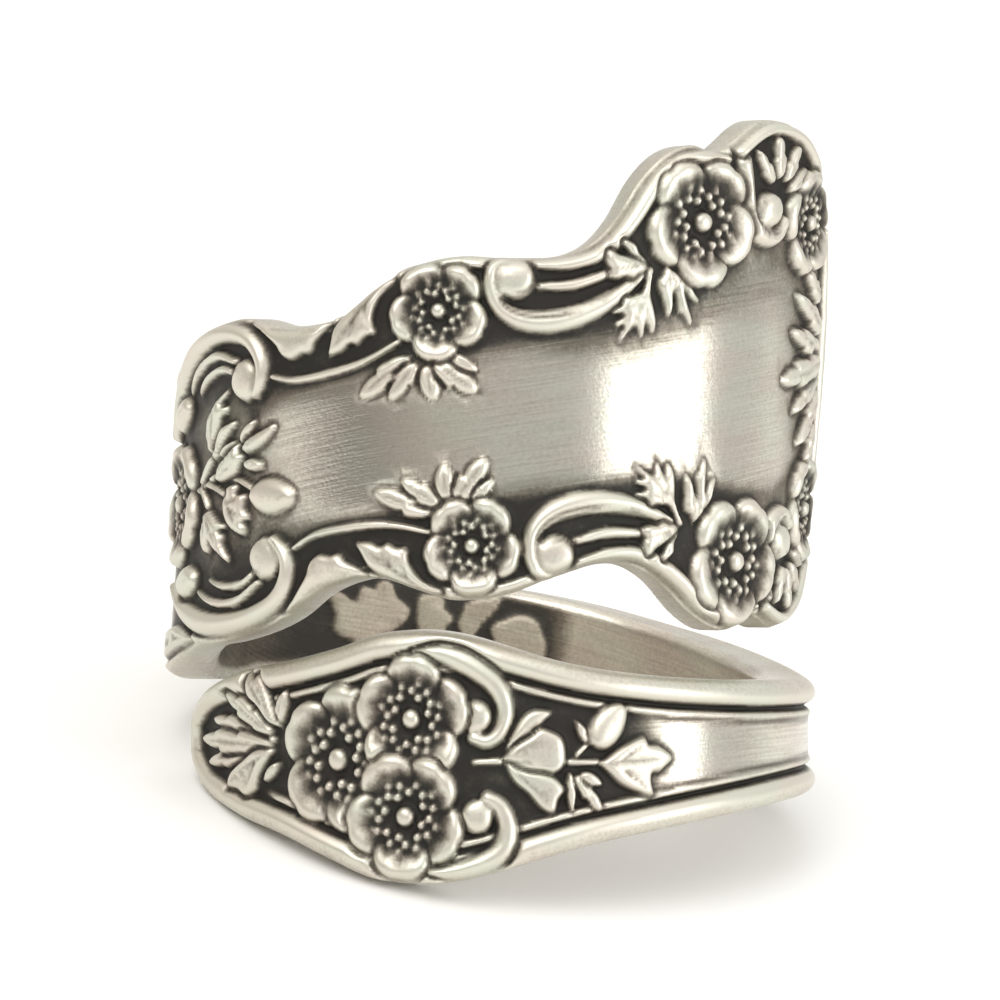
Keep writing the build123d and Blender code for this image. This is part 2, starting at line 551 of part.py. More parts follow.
class FacetNet:
    """A face of the handle as a net of triangles, laid along the rims and motifs of its relief."""

    def __init__(self, handle, rim, insets, seeds, budget, measure):
        self.handle, self.measure = handle, measure
        self.tree = cKDTree(np.vstack([handle.edge, handle.edge * [1, -1]]))
        self.points = rim
        for inset in insets:
            self.add(self.inset_row(rim, inset), row_step * least_step)
        seen = self.height_at(seeds[:, :2]) < seeds[:, 2] + 0.15 * seeds[:, 2].max()
        self.add(seeds[seen, :2], least_step)
        self.add(self.inner_grid(coarse_step), 0.4 * coarse_step)
        candidates = self.inner_grid(grid_step)
        target = self.height_at(candidates)
        for n in range(refining_rounds):
            self.refine(candidates, target, max(0, budget - len(self.points)) // (refining_rounds - n))
        self.triangles = self.net()
        self.heights = self.height_at(self.points)

    def add(self, points, clear):
        """Adds the points that lie inside the outline and clear of one another and of the others."""
        points = points[np.abs(points[:, 1]) < self.handle.half_width(points[:, 0])]
        points = points[self.tree.query(points)[0] > edge_clear * least_step]
        points = points[cKDTree(self.points).query(points)[0] > clear]
        kept = np.ones(len(points), bool)
        for first, second in sorted(cKDTree(points).query_pairs(clear)):
            if kept[first]:
                kept[second] = False
        self.points = np.vstack([self.points, points[kept]])

    def inset_row(self, rim, inset):
        """A row of points inside the outline, each across from a point of the rim."""
        along = np.roll(rim, -1, axis=0) - np.roll(rim, 1, axis=0)
        row = rim + inset[:, None] * along[:, ::-1] * [1, -1] / np.linalg.norm(along, axis=1)[:, None]
        clear = np.abs(self.tree.query(row)[0] - inset) < 0.08 * inset
        return row[clear & (inset > 0)]

    def inner_grid(self, step):
        s0, s1 = self.handle.edge[0, 0], self.handle.edge[-1, 0]
        rows = int(2 * self.handle.edge[:, 1].max() / step)
        s, v = np.meshgrid(np.arange(s0, s1, step), (np.arange(rows) - (rows - 1) / 2) * step)
        s = s + np.where(np.arange(rows) % 2, 0.5 * step, 0)[:, None]
        p = np.column_stack([s.ravel(), v.ravel()])
        p = p[np.abs(p[:, 1]) < self.handle.half_width(p[:, 0])]
        return p[self.tree.query(p)[0] > 1.5 * least_step]

    def height_at(self, p):
        return self.measure(p[:, 0], p[:, 1], self.tree.query(p)[0])

    def net(self):
        """Triangles between the points that lie inside the outline."""
        triangles = Delaunay(self.points).simplices
        middle = self.points[triangles].mean(axis=1)
        return triangles[np.abs(middle[:, 1]) < self.handle.half_width(middle[:, 0])]

    def refine(self, candidates, target, count):
        """Adds the places that lie farthest off the present facets, one for each facet."""
        net = Delaunay(self.points)
        owner = net.find_simplex(candidates)
        known = self.height_at(self.points)
        frame = net.transform[owner]
        part = np.einsum("nij,nj->ni", frame[:, :2], candidates - frame[:, 2])
        part = np.column_stack([part, 1 - part.sum(axis=1)])
        error = np.abs((known[net.simplices[owner]] * part).sum(axis=1) - target)
        error[(owner < 0) | (cKDTree(self.points).query(candidates)[0] < least_step)] = 0
        order = np.argsort(-error)
        first = np.unique(owner[order], return_index=True)[1]
        chosen = order[np.sort(first)][:count]
        self.points = np.vstack([self.points, candidates[chosen[error[chosen] > facet_error]]])


def build_net():
    """All points of the ring, still upright on its axis, and its triangles seen from outside."""
    handle = Handle()
    rim = handle.outline_points()
    ornament = front_ornament(handle)

    def outer(s, v, inset):
        ground = front_ground(handle, s, v, inset)
        return ornament.height(s, v, ground) - rounding(inset, outer_round)
    reverse = Ornament(reverse_relief)
    back_s = np.interp(reverse_angle, handle.angles, handle.length)
    reverse.group([], REVERSE_LEAVES, (back_s, 0), 1, 0)
    reverse.blossoms.append(((back_s, 0), REVERSE_BLOSSOM[0] * motif_module, REVERSE_BLOSSOM[1]))

    def inner(s, v, inset):
        return reverse.height(s, v, np.zeros_like(s)) - rounding(inset, inner_round)
    rim_rows = [share * handle.rim_width(rim[:, 0]) for share in (0.1, 0.5, 1, 0.25, 0.75)]
    threaded = handle.thread_share(rim[:, 0]) > 0.5
    thread_rows = [(thread_inset + across * thread_width) * threaded for across in (0, -0.5, 0.5, 1.5)]
    front = FacetNet(handle, rim, rim_rows + thread_rows, ornament.seed_rows(), outer_points, outer)
    round_rows = [np.full(len(rim), share * inner_round) for share in (0.25, 1)]
    back = FacetNet(handle, rim, round_rows, reverse.seed_rows(), inner_points, inner)
    top = handle.wind(front.points[:, 0], front.points[:, 1], front.heights)
    under = handle.wind(back.points[:, 0], back.points[:, 1], -wall - back.heights)
    n, first_under = len(rim), len(top)
    ring = np.arange(n)
    ahead = (ring + 1) % n
    side = np.vstack([np.column_stack([ring, ahead, ring + first_under]),
                      np.column_stack([ahead, ahead + first_under, ring + first_under])])
    return np.vstack([top, under]), np.vstack([front.triangles, back.triangles[:, ::-1] + first_under, side])


def centre_of_mass(points, triangles):
    a, b, c = points[triangles].transpose(1, 0, 2)
    volume = np.einsum("ij,ij->i", a, np.cross(b, c)) / 6
    return (volume[:, None] * (a + b + c)).sum(axis=0) / 4 / volume.sum()


def turn_about(axis, angle):
    """The matrix of a turn about an axis."""
    x, y, z = axis / np.linalg.norm(axis)
    cross = np.array([[0, -z, y], [z, 0, -x], [-y, x, 0]])
    return np.eye(3) + math.sin(angle) * cross + (1 - math.cos(angle)) * cross @ cross


def rest_turn(points, triangles):
    """The turn that lays the upright ring on the three points it comes to rest on."""
    centre = centre_of_mass(points, triangles)
    hull = ConvexHull(points)
    under = np.array([0.0, 0.0, 1.0])
    for corners, plane in zip(points[hull.simplices], hull.equations):
        normal = plane[:3]
        foot = centre - (centre @ normal + plane[3]) * normal
        sides = [np.cross(b - a, foot - a) @ normal for a, b in zip(corners, np.roll(corners, -1, axis=0))]
        if (min(sides) > 0 or max(sides) < 0) and normal[2] < under[2]:
            under = normal
    return turn_about(np.cross(under, [0, 0, -1]), math.acos(-under[2]))


def ring_at_rest():
    """Points of the ring as it lies, its triangles, and the turn and shift from its own axis to there."""
    upright, triangles = build_net()
    turn = rest_turn(upright, triangles)
    points = upright @ turn.T
    low, high = points.min(axis=0), points.max(axis=0)
    shift = -np.array([(low[0] + high[0]) / 2, (low[1] + high[1]) / 2, low[2]])
    return points + shift, triangles, turn, shift


def solid_from_net(points, triangles):
    corners = [Vector(*p) for p in points]
    faces = [Face(Wire.make_polygon([corners[i] for i in t], close=True)) for t in triangles]
    return Solid(Shell(faces))


points, triangles, turn, shift = ring_at_rest()
ring = solid_from_net(points, triangles)
os.makedirs("parts", exist_ok=True)
export_step(ring, "parts/ring.step", write_pcurves=False)
print(f"ring: {len(ring.faces())} facets, {ring.volume:.1f} mm3, valid {ring.is_valid}")
print(f"size: {ring.bounding_box().size}")
lean, side = math.degrees(math.acos(turn[2, 2])), math.degrees(math.atan2(turn[1, 2], turn[0, 2]))
print(f"at rest the hole leans {lean:.3f} degrees towards {side:.3f} degrees from +X, shift {shift.round(3)}")
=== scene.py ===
"""A silver wrap ring bent from one ornate spoon handle, as it lies at rest.

The handle is shaped flat, as it was struck, its relief is raised on it, and it is then wound one and
a half turns round the finger. Lengths of the handle are in millimetres, the objects' in metres. On
the flat handle s runs along it from the cut end to the tip, and v across it."""
import copy
import math

import bmesh
import bpy
import numpy as np
from mathutils import Matrix, Vector


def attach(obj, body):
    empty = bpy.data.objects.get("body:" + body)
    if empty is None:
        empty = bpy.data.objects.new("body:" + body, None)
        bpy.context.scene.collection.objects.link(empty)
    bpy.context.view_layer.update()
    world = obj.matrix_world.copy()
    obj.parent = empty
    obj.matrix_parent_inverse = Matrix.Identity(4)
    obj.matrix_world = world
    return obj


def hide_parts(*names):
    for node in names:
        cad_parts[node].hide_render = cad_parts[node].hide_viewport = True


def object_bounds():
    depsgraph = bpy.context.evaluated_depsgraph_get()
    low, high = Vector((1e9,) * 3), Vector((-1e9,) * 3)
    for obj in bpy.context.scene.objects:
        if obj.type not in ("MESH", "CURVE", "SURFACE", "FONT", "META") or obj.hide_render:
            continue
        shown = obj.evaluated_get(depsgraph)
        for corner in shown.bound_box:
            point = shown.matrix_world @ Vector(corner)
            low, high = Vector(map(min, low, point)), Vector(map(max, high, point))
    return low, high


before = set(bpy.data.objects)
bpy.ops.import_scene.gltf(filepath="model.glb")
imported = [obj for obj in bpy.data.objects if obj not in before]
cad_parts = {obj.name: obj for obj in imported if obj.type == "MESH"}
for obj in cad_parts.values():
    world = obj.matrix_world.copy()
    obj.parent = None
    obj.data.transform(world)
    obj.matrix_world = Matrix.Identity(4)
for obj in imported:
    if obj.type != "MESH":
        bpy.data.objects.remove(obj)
cad_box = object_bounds()
MM = 0.001

# finger hollow and metal
finger_bore = 16.4        # across the hollow inside the lower turn
bore_growth = 1.0         # how much wider the hollow is inside the upper turn
wall = 1.4                # metal under the ground of the relief
relief = 0.42             # height of the petals and scrolls over the ground
outer_round = 0.55        # rounding of the outer edge
inner_round = 0.40        # rounding of the edge on the finger
reverse_relief = 0.22     # height of the flower on the inner face

# flat handle
tail_length = 14.5        # from the middle of the band to its cut end
band_width = 7.8          # over the blossoms of the band
shank_width = 3.7         # plain stretch round the back of the finger
panel_reach = 16.8        # from the middle of the panel to the tip
panel_width = 10.4        # over the two middle blossoms of the panel
tip_width = 16.0          # over the two lobes near the tip
band_run = 0.35           # of tail_length, past the table of the band to the plain shank
panel_run = 0.30          # of panel_reach, from the plain shank to the table of the panel

# borders
shank_rim = 0.84          # width of the rounded rim along the band and the shank
panel_rim = 0.40          # width of the thin rim round the panel
thread_width = 0.30       # fine raised line inside the rim
thread_inset = 1.10       # from the edge to the middle of that line

# winding and rest
turn_gap = 0.9            # least clear height between the two turns
tip_flare = 0.075         # how much the tip leans out for each millimetre up
end_spring = 0.22         # how far the two ends stand off the round
limb_flare = 0.05         # how much the left limb leans out for each millimetre down
turn_shift = 0.29         # how far the upper turn stands to the left of the lower one
band_angle = 0.0          # degrees round the finger, 0 at the front, 90 at the right
panel_angle = 353.3
growth_angles = (90, 270) # between these the hollow widens and the upper turn comes to the left
tip_angles = (375, 445)   # between these the tip comes to lean out and stand off
tail_angles = (40, 85)    # the same for the cut end, counted to the left of the front
limb_angles = (225, 265, 280, 320)   # the left limb comes to lean out, and comes back
reverse_angle = 182.0     # the middle of the flower on the inner face
front_angles = (-80, 92)  # where the two turns pass each other in front
climb_smoothing = 15      # steps of the centre line, on each side, that its climb is averaged over
neutral_height = 0.75     # where the handle keeps its length when it is wound, as a share of the relief
rest_lean = 19.751        # degrees that the finger hollow leans when the ring lies by itself
rest_side = 117.415       # degrees from +X towards which it leans

# oxide and painted shade on the inner face, along the handle from the middle of its flower
inner_oxide_and_shade = 0.95        # left round the flower, 1 is full
stain_and_shade_share = 0.06        # of it that is left everywhere
stain_and_shade_start = (-3.3, -2.1)                           # where it begins and is full
stain_and_shade_fade = ((8.0, 11.0, 0.30), (14.0, 22.0, 0.42)) # where it fades, and by how much
petal_wear = 0.88         # how much of it is gone from the petals

# carving, in millimetres
vein_width = 0.045        # of veins and creases
leaf_shoulder = 0.19      # rounding of the drawn leaves
softening = 0.05          # rounding of all the relief
inner_softening = 0.12    # the same on the inner face

# fineness of the work
map_step = 0.03           # between the places where the relief is worked out
inset_step = 0.1          # the same for the distance from the outline
outline_step = 0.15       # length of the pieces of the outline that this distance is taken to
outline_reach = 44        # pieces that are looked at on each side of a place
column_step = 0.36        # of the blank's columns along the ornate outline, before they are divided
blank_rows = 30           # of the blank, across the handle
edge_rows = (0.0, 0.04, 0.13, 0.27, 0.45)  # distance of the outermost rows from the outline
bend_limits = (0.018, 0.018, 0.024)        # relief that a facet may miss before it is divided
tone_weight = 0.02        # relief that counts as much as a full change of tone there
inner_tone_weight = 0.045 # the same on the inner face

# stage
camera_distance = 180.0   # from the middle of the ring
camera_level = 2.87
camera_side = -0.13
sensor_width = 36.0
pixels_per_mm = 31.0
picture_pixels = 1000
ring_middle = 0.012       # height that the lights are turned to, in metres
paper_color = (0.93, 0.93, 0.925)

# Centre line: degrees round the finger, share of the climb from the band to the panel
CLIMB = [
    (-85, 0.035), (-46, 0.02), (-23, 0.0), (0, 0.0), (23, 0.007), (46, 0.02), (69, 0.03), (90, 0.032),
    (102, 0.048), (144, 0.178), (166, 0.268), (200, 0.372), (225, 0.436), (246, 0.53), (270, 0.695),
    (285, 0.785), (312, 0.876), (353, 1.0), (400, 1.126), (455, 1.27),
]

# Half outlines: place as a share of the reach, half width as a share of the width
BAND_EDGE = [
    (-1.0, 0.0), (-0.985, 0.1), (-0.94, 0.165), (-0.897, 0.205), (-0.83, 0.245), (-0.69, 0.305),
    (-0.552, 0.352), (-0.414, 0.42), (-0.31, 0.48), (-0.207, 0.5), (-0.103, 0.485), (0.0, 0.442),
    (0.138, 0.374), (0.276, 0.327), (0.483, 0.283), (0.76, 0.25),
]
PANEL_EDGE = [
    (-1.31, 0.262), (-1.19, 0.338), (-1.071, 0.402), (-0.952, 0.44), (-0.833, 0.455), (-0.714, 0.462),
    (-0.613, 0.476), (-0.506, 0.474), (-0.417, 0.452), (-0.327, 0.402), (-0.238, 0.385), (-0.179, 0.4),
    (-0.119, 0.447), (-0.06, 0.49), (0.0, 0.502), (0.06, 0.5), (0.119, 0.481), (0.179, 0.466),
    (0.238, 0.457), (0.298, 0.476),
]
TIP_EDGE = [
    (0.357, 0.35), (0.417, 0.418), (0.476, 0.46), (0.536, 0.472), (0.595, 0.453), (0.637, 0.468),
    (0.685, 0.492), (0.732, 0.5), (0.81, 0.482), (0.869, 0.438), (0.911, 0.378), (0.946, 0.3),
    (0.976, 0.2), (0.994, 0.1), (1.0, 0.0),
]
FIELD_EDGE = [
    (-0.65, 0.15), (-0.399, 0.186), (-0.298, 0.216), (-0.149, 0.226), (-0.06, 0.236), (0.119, 0.24),
    (0.357, 0.25), (0.476, 0.288), (0.565, 0.336), (0.685, 0.346), (0.75, 0.33), (0.9, 0.2),
]

# Ornament of the panel, from its middle, on both sides of the centre line.
# Strokes: points, half widths at even steps, height as a share of the relief, place of the line
# that is cut along it (0 none, 1 its left border, -1 its right border)
PANEL_STROKES = [
    ([(-11.4, 3.15), (-10.2, 3.72), (-8.9, 3.88), (-7.7, 3.45)], (0.03, 0.15, 0.17, 0.12), 0.75, 0),
    ([(-10.5, 2.95), (-9.5, 3.33), (-8.5, 3.38), (-7.8, 3.1)], (0.03, 0.13, 0.15, 0.12), 0.7, 0),
    ([(-6.2, 2.72), (-5.2, 2.42), (-3.8, 2.4), (-2.5, 2.55), (-1.2, 3.0)], (0.08, 0.13, 0.14, 0.12, 0.08),
     0.7, 0),
    ([(-6.6, 4.45), (-5.6, 4.1), (-4.3, 3.95), (-3.3, 4.05), (-2.2, 4.4), (-1.3, 4.8)],
     (0.12, 0.2, 0.2, 0.2, 0.2, 0.15), 0.8, 0),
    ([(3.2, 3.92), (4.3, 3.82), (5.5, 4.02), (6.4, 4.2)], (0.14, 0.2, 0.16, 0.06), 0.8, 0),
    ([(3.0, 4.62), (4.4, 4.5), (5.5, 4.75), (6.5, 5.55), (7.4, 6.5), (8.4, 7.1), (9.4, 7.15),
     (10.1, 6.95)], (0.15, 0.24, 0.26, 0.3, 0.3, 0.26, 0.24, 0.2), 0.9, 0),
]
# Scrolls that end in a knob: as strokes, then middle and radius of the knob, and the way it winds
PANEL_SCROLLS = [
    ([(-13.8, 2.5), (-12.7, 3.5), (-11.2, 4.2), (-9.7, 4.5), (-8.3, 4.5), (-7.1, 4.15), (-6.5, 3.5),
     (-6.45, 2.8), (-6.85, 2.3)], (0.2, 0.33, 0.4, 0.42, 0.4, 0.36, 0.33, 0.3, 0.2), 1.0, 0, (-7.32, 2.8),
     0.68, -1),
    ([(6.7, 3.95), (5.8, 3.4), (4.8, 2.98), (3.6, 2.8), (2.6, 2.95), (1.95, 3.4), (1.72, 4.1),
     (1.85, 4.7), (2.3, 4.95)], (0.12, 0.22, 0.32, 0.38, 0.4, 0.36, 0.28, 0.22, 0.14), 1.0, -1,
     (2.52, 4.25), 0.66, -1),
    ([(10.75, 7.1), (10.8, 6.2), (10.85, 5.2), (11.3, 4.5), (12.0, 4.35), (12.5, 4.8)],
     (0.3, 0.34, 0.36, 0.36, 0.3, 0.2), 0.95, 1, (11.75, 5.25), 0.58, 1),
]
# Small leaves: base, tip, half width, lobes
PANEL_LEAVES = [
    ((-1.05, 2.4), (-2.9, 1.45), 0.46, 2), ((-0.85, 2.2), (-1.95, 1.22), 0.36, 2),
    ((-0.62, 2.1), (-0.52, 0.95), 0.36, 1), ((-0.35, 2.15), (0.85, 1.02), 0.46, 2),
    ((0.15, 2.3), (0.95, 1.65), 0.22, 1), ((12.0, 6.0), (11.35, 7.15), 0.26, 2),
    ((12.3, 6.1), (12.4, 7.55), 0.3, 2), ((12.6, 6.0), (13.5, 7.1), 0.28, 2),
    ((12.8, 5.7), (14.1, 6.3), 0.26, 1), ((15.2, 1.9), (14.0, 3.2), 0.32, 2),
    ((15.6, 0.9), (13.3, 2.4), 0.4, 2), ((15.7, 0.15), (12.9, 1.3), 0.45, 3),
]
# Drawn leaves: border, then the creases between two points each
PANEL_DRAWN_LEAVES = [
    ([(-12.1, 4.6), (-12.8, 4.18), (-13.8, 3.8), (-15.2, 3.5), (-16.8, 3.35), (-17.9, 3.55),
     (-17.2, 3.95), (-15.8, 4.28), (-14.2, 4.5), (-13.0, 4.62)], [((-12.4, 4.48), (-17.0, 3.72)),
     ((-13.4, 4.3), (-14.6, 3.75)), ((-14.8, 4.15), (-16.0, 3.55))]),
    ([(-7.0, 4.6), (-6.3, 4.1), (-5.75, 3.6), (-5.5, 3.2), (-5.1, 3.02), (-4.75, 3.14), (-4.4, 3.1),
     (-4.2, 3.4), (-3.9, 3.6), (-3.6, 4.0), (-4.3, 4.02), (-5.2, 4.15), (-6.1, 4.45)], [((-6.5, 4.25),
     (-5.2, 3.25)), ((-6.0, 4.15), (-4.0, 3.75))]),
    ([(-3.8, 2.88), (-3.25, 2.95), (-2.95, 3.15), (-2.7, 3.05), (-2.4, 3.27), (-2.08, 3.3), (-2.1, 3.75),
     (-1.92, 4.15), (-1.65, 4.5), (-1.2, 4.85), (-2.0, 4.8), (-2.6, 4.47), (-3.1, 4.1), (-3.45, 3.7),
     (-3.62, 3.3)], [((-1.8, 4.65), (-3.55, 3.05)), ((-2.2, 4.2), (-2.35, 3.45)), ((-2.6, 3.95),
     (-2.9, 3.3))]),
    ([(6.85, 4.15), (6.56, 4.5), (6.5, 4.72), (6.35, 4.87), (6.05, 4.97), (6.0, 4.84), (6.15, 4.65),
     (6.25, 4.45), (6.5, 4.2)], [((6.6, 4.35), (6.2, 4.8))]),
    ([(6.85, 4.05), (6.2, 4.42), (5.83, 4.58), (5.58, 4.75), (5.45, 4.65), (5.4, 4.3), (5.52, 4.15),
     (5.43, 3.98), (5.5, 3.83), (5.75, 3.77), (5.95, 3.82), (6.2, 3.74), (6.42, 3.86), (6.7, 3.93)],
     [((6.7, 4.03), (5.6, 4.14)), ((6.4, 4.12), (5.6, 4.55))]),
    ([(7.0, 3.98), (6.84, 3.6), (6.76, 3.2), (6.8, 2.7), (6.82, 2.35), (6.66, 1.98), (6.48, 2.35),
     (6.28, 1.92), (6.08, 2.3), (5.46, 1.88), (5.78, 2.38), (5.42, 2.38), (5.8, 2.7), (5.38, 2.8),
     (5.75, 3.02), (5.8, 3.2), (6.33, 3.27), (6.54, 3.34), (6.68, 3.6), (6.82, 3.98)], [((6.68, 3.3),
     (5.75, 2.12)), ((6.66, 3.1), (6.33, 2.15)), ((6.5, 3.12), (5.6, 2.8))]),
    ([(7.42, 3.98), (7.6, 3.84), (7.88, 3.62), (8.18, 3.35), (8.33, 3.05), (8.52, 2.72), (8.16, 2.9),
     (7.93, 3.22), (8.02, 2.75), (8.14, 2.05), (7.86, 2.42), (7.68, 2.55), (7.66, 2.98), (7.54, 3.22),
     (7.48, 2.75), (7.3, 2.42), (7.2, 2.75), (7.13, 3.15), (7.05, 3.38), (7.12, 3.56), (7.3, 3.72)],
     [((7.5, 3.75), (8.05, 2.4)), ((7.4, 3.65), (7.3, 2.75)), ((7.75, 3.6), (8.38, 2.86))]),
]
PANEL_BUDS = [((-13.0, 2.7), (-11.3, 2.75), 0.56)]

# Ornament that stands once: the spray beside the left blossom, the border round the tip and its leaf
TIP_HALF = [
    (10.7, 7.15), (11.6, 7.6), (12.4, 7.72), (13.5, 7.4), (14.4, 6.75), (15.1, 5.8), (15.7, 4.6),
    (16.2, 3.2), (16.45, 1.6),
]
SPRAY_STEMS = [
    (TIP_HALF + [(16.5, 0.0)] + [(a, -b) for a, b in reversed(TIP_HALF)],
     (0.2, 0.26, 0.27, 0.27, 0.26, 0.2), 0.9, 0),
    ([(-10.8, -0.05), (-9.6, 0.15), (-8.8, 0.3)], (0.14, 0.12, 0.12), 0.65, 0),
    ([(-10.6, 0.05), (-10.1, 0.5), (-9.5, 0.9)], (0.1, 0.11, 0.1), 0.65, 0),
    ([(-10.1, 0.0), (-9.6, -0.2), (-8.9, -0.6)], (0.11, 0.1, 0.09), 0.65, 0),
    ([(-10.6, -0.05), (-10.35, -0.4), (-10.1, -0.95)], (0.1, 0.1, 0.09), 0.65, 0),
    ([(-8.9, -0.02), (-8.2, -0.2), (-7.4, -0.65)], (0.1, 0.1, 0.12), 0.65, 0),
]
SPRAY_LEAVES = [
    ((-9.1, 0.72), (-8.15, 1.02), 0.16, 1), ((-7.85, 0.9), (-7.05, 1.5), 0.2, 1),
    ((-7.8, 0.25), (-6.9, 0.05), 0.22, 1), ((15.8, 0.0), (12.1, -0.2), 0.55, 3),
]
SPRAY_DRAWN_LEAVES = [
    ([(-9.55, 0.05), (-9.15, 0.45), (-8.65, 0.7), (-8.02, 0.95), (-8.1, 0.7), (-7.82, 0.52),
     (-8.05, 0.27), (-8.2, 0.05), (-8.65, -0.05), (-9.1, -0.08)], [((-9.4, 0.1), (-8.2, 0.74)),
     ((-9.2, 0.05), (-8.15, 0.3))]),
    ([(-7.88, 0.7), (-7.6, 0.93), (-7.3, 1.04), (-6.85, 1.12), (-6.15, 1.22), (-6.45, 0.9), (-6.85, 0.68),
     (-7.3, 0.56), (-7.7, 0.58)], [((-7.8, 0.65), (-6.4, 1.1))]),
    ([(-9.6, 0.85), (-9.75, 1.15), (-9.82, 1.55), (-9.7, 2.0), (-9.57, 2.3), (-9.46, 2.05), (-9.28, 2.3),
     (-8.95, 2.5), (-8.36, 2.74), (-8.82, 2.38), (-8.76, 2.22), (-8.48, 2.15), (-8.82, 1.9), (-9.0, 1.6),
     (-9.2, 1.25), (-9.42, 0.95)], [((-9.5, 1.0), (-9.05, 2.35)), ((-9.6, 1.2), (-9.6, 2.1))]),
    ([(-9.62, 0.72), (-9.3, 1.08), (-9.0, 1.42), (-8.75, 1.62), (-8.4, 1.64), (-8.08, 1.64),
     (-8.36, 1.42), (-8.55, 1.26), (-8.75, 1.1), (-9.0, 0.94), (-9.4, 0.72)], [((-9.3, 0.9),
     (-8.4, 1.52))]),
    ([(-8.98, -0.5), (-9.05, -0.85), (-9.03, -1.15), (-8.95, -1.4), (-8.65, -1.72), (-8.2, -1.92),
     (-8.06, -1.68), (-8.16, -1.5), (-7.86, -1.42), (-8.02, -1.15), (-7.92, -0.74), (-8.12, -0.64),
     (-8.35, -0.64), (-8.22, -0.36), (-8.5, -0.27), (-8.82, -0.32), (-8.74, -0.52)], [((-8.9, -0.6),
     (-8.3, -1.7)), ((-8.75, -0.75), (-8.1, -0.82)), ((-8.75, -1.0), (-8.05, -1.36))]),
    ([(-10.02, -0.85), (-9.8, -1.05), (-9.5, -1.3), (-9.22, -1.5), (-9.55, -1.54), (-9.36, -1.75),
     (-9.38, -2.05), (-9.16, -2.62), (-9.5, -2.36), (-9.9, -2.06), (-10.1, -1.8), (-10.36, -2.16),
     (-10.6, -1.85), (-10.58, -1.45), (-10.42, -1.1), (-10.25, -0.85)], [((-10.1, -1.0), (-9.4, -2.3)),
     ((-10.25, -1.1), (-10.4, -1.95))]),
]
SPRAY_BUDS = [((-7.6, -0.78), (-5.7, -1.15), 0.6)]

# Ornament of the band, from its middle
BAND_STROKES = [
    ([(-1.0, -0.12), (0.1, -0.08)], (0.09, 0.13), 0.6, 0),
    ([(2.0, -0.15), (3.3, -0.2)], (0.11, 0.11), 0.6, 0), ([(2.4, 0.05), (2.9, 0.5)], (0.08, 0.1), 0.6, 0),
]
BAND_SCROLLS = [
    ([(-3.0, 3.2), (-2.1, 3.2), (-1.15, 2.85), (-0.3, 2.25), (0.05, 1.55), (-0.1, 0.85), (-0.55, 0.5),
     (-1.0, 0.62)], (0.12, 0.3, 0.4, 0.4, 0.36, 0.32, 0.28, 0.24), 1.0, 0, (-0.92, 1.28), 0.54, -1),
    ([(-2.6, -3.5), (-1.7, -3.52), (-0.85, -3.32), (-0.1, -2.85), (0.12, -2.17), (-0.1, -1.5),
     (-0.55, -1.2)], (0.05, 0.28, 0.38, 0.4, 0.38, 0.34, 0.26), 1.0, 0, (-0.92, -1.8), 0.56, 1),
]
BAND_LEAVES = [
    ((-8.3, -0.47), (-8.95, -1.12), 0.2, 1), ((-9.2, -0.07), (-12.6, -0.72), 0.42, 3),
    ((-8.5, 0.18), (-12.2, 0.73), 0.44, 3), ((-8.6, 0.03), (-13.3, 0.03), 0.48, 3),
    ((-8.6, 0.43), (-11.3, 1.6), 0.42, 3), ((-8.35, 0.7), (-8.0, 1.85), 0.28, 1),
    ((2.75, 0.4), (2.4, 1.1), 0.18, 1), ((2.15, -0.45), (2.2, -1.7), 0.18, 1),
    ((2.35, -0.55), (3.2, -1.72), 0.3, 2), ((2.5, -0.5), (3.25, -0.9), 0.2, 1),
]
BAND_DRAWN_LEAVES = [
    ([(-8.27, 0.64), (-8.73, 1.44), (-9.0, 1.97), (-9.4, 2.32), (-9.55, 2.05), (-9.9, 2.4), (-10.0, 2.0),
     (-9.9, 1.5), (-9.35, 1.2), (-8.8, 0.75)], [((-8.5, 0.8), (-9.4, 2.1)), ((-9.1, 1.3), (-9.85, 2.1))]),
    ([(-8.6, -0.1), (-9.4, -0.12), (-10.1, -0.48), (-10.85, -0.92), (-11.0, -1.42), (-10.4, -1.45),
     (-9.85, -1.65), (-9.42, -1.38), (-9.3, -1.0), (-8.95, -0.55)], [((-8.8, -0.22), (-10.75, -1.2)),
     ((-9.3, -0.5), (-9.85, -1.45))]),
    ([(0.0, 0.1), (0.22, 0.72), (0.6, 1.28), (1.0, 1.5), (1.62, 1.38), (1.3, 1.1), (0.95, 0.65),
     (0.4, 0.22)], [((0.2, 0.35), (1.3, 1.3))]),
    ([(0.0, -0.1), (0.3, -0.72), (0.75, -1.08), (1.2, -1.58), (1.62, -1.72), (1.75, -1.3), (1.98, -1.0),
     (1.65, -0.6), (1.2, -0.4), (0.6, -0.2)], [((0.3, -0.35), (1.5, -1.45))]),
    ([(-0.05, 0.0), (0.4, 0.42), (0.85, 0.67), (1.15, 0.92), (1.5, 0.84), (1.9, 0.62), (2.02, 0.2),
     (1.97, -0.25), (1.65, -0.5), (1.3, -0.42), (0.8, -0.36), (0.35, -0.2)], [((0.15, 0.02),
     (1.15, 0.55)), ((0.2, -0.1), (1.4, -0.2))]),
    ([(3.15, -0.25), (3.64, 0.1), (4.15, 0.36), (4.75, 0.55), (4.9, 0.28), (5.25, 0.25), (5.8, -0.15),
     (5.5, -0.42), (5.22, -0.62), (5.0, -0.55), (4.98, -0.9), (5.02, -1.32), (4.4, -1.15), (3.82, -0.88),
     (3.36, -0.45)], [((3.3, -0.25), (5.4, -0.14)), ((4.0, -0.1), (4.66, 0.4)), ((4.0, -0.5),
     (4.85, -1.15))]),
]
BAND_BUDS = [((2.95, 0.3), (4.05, 1.55), 0.58)]

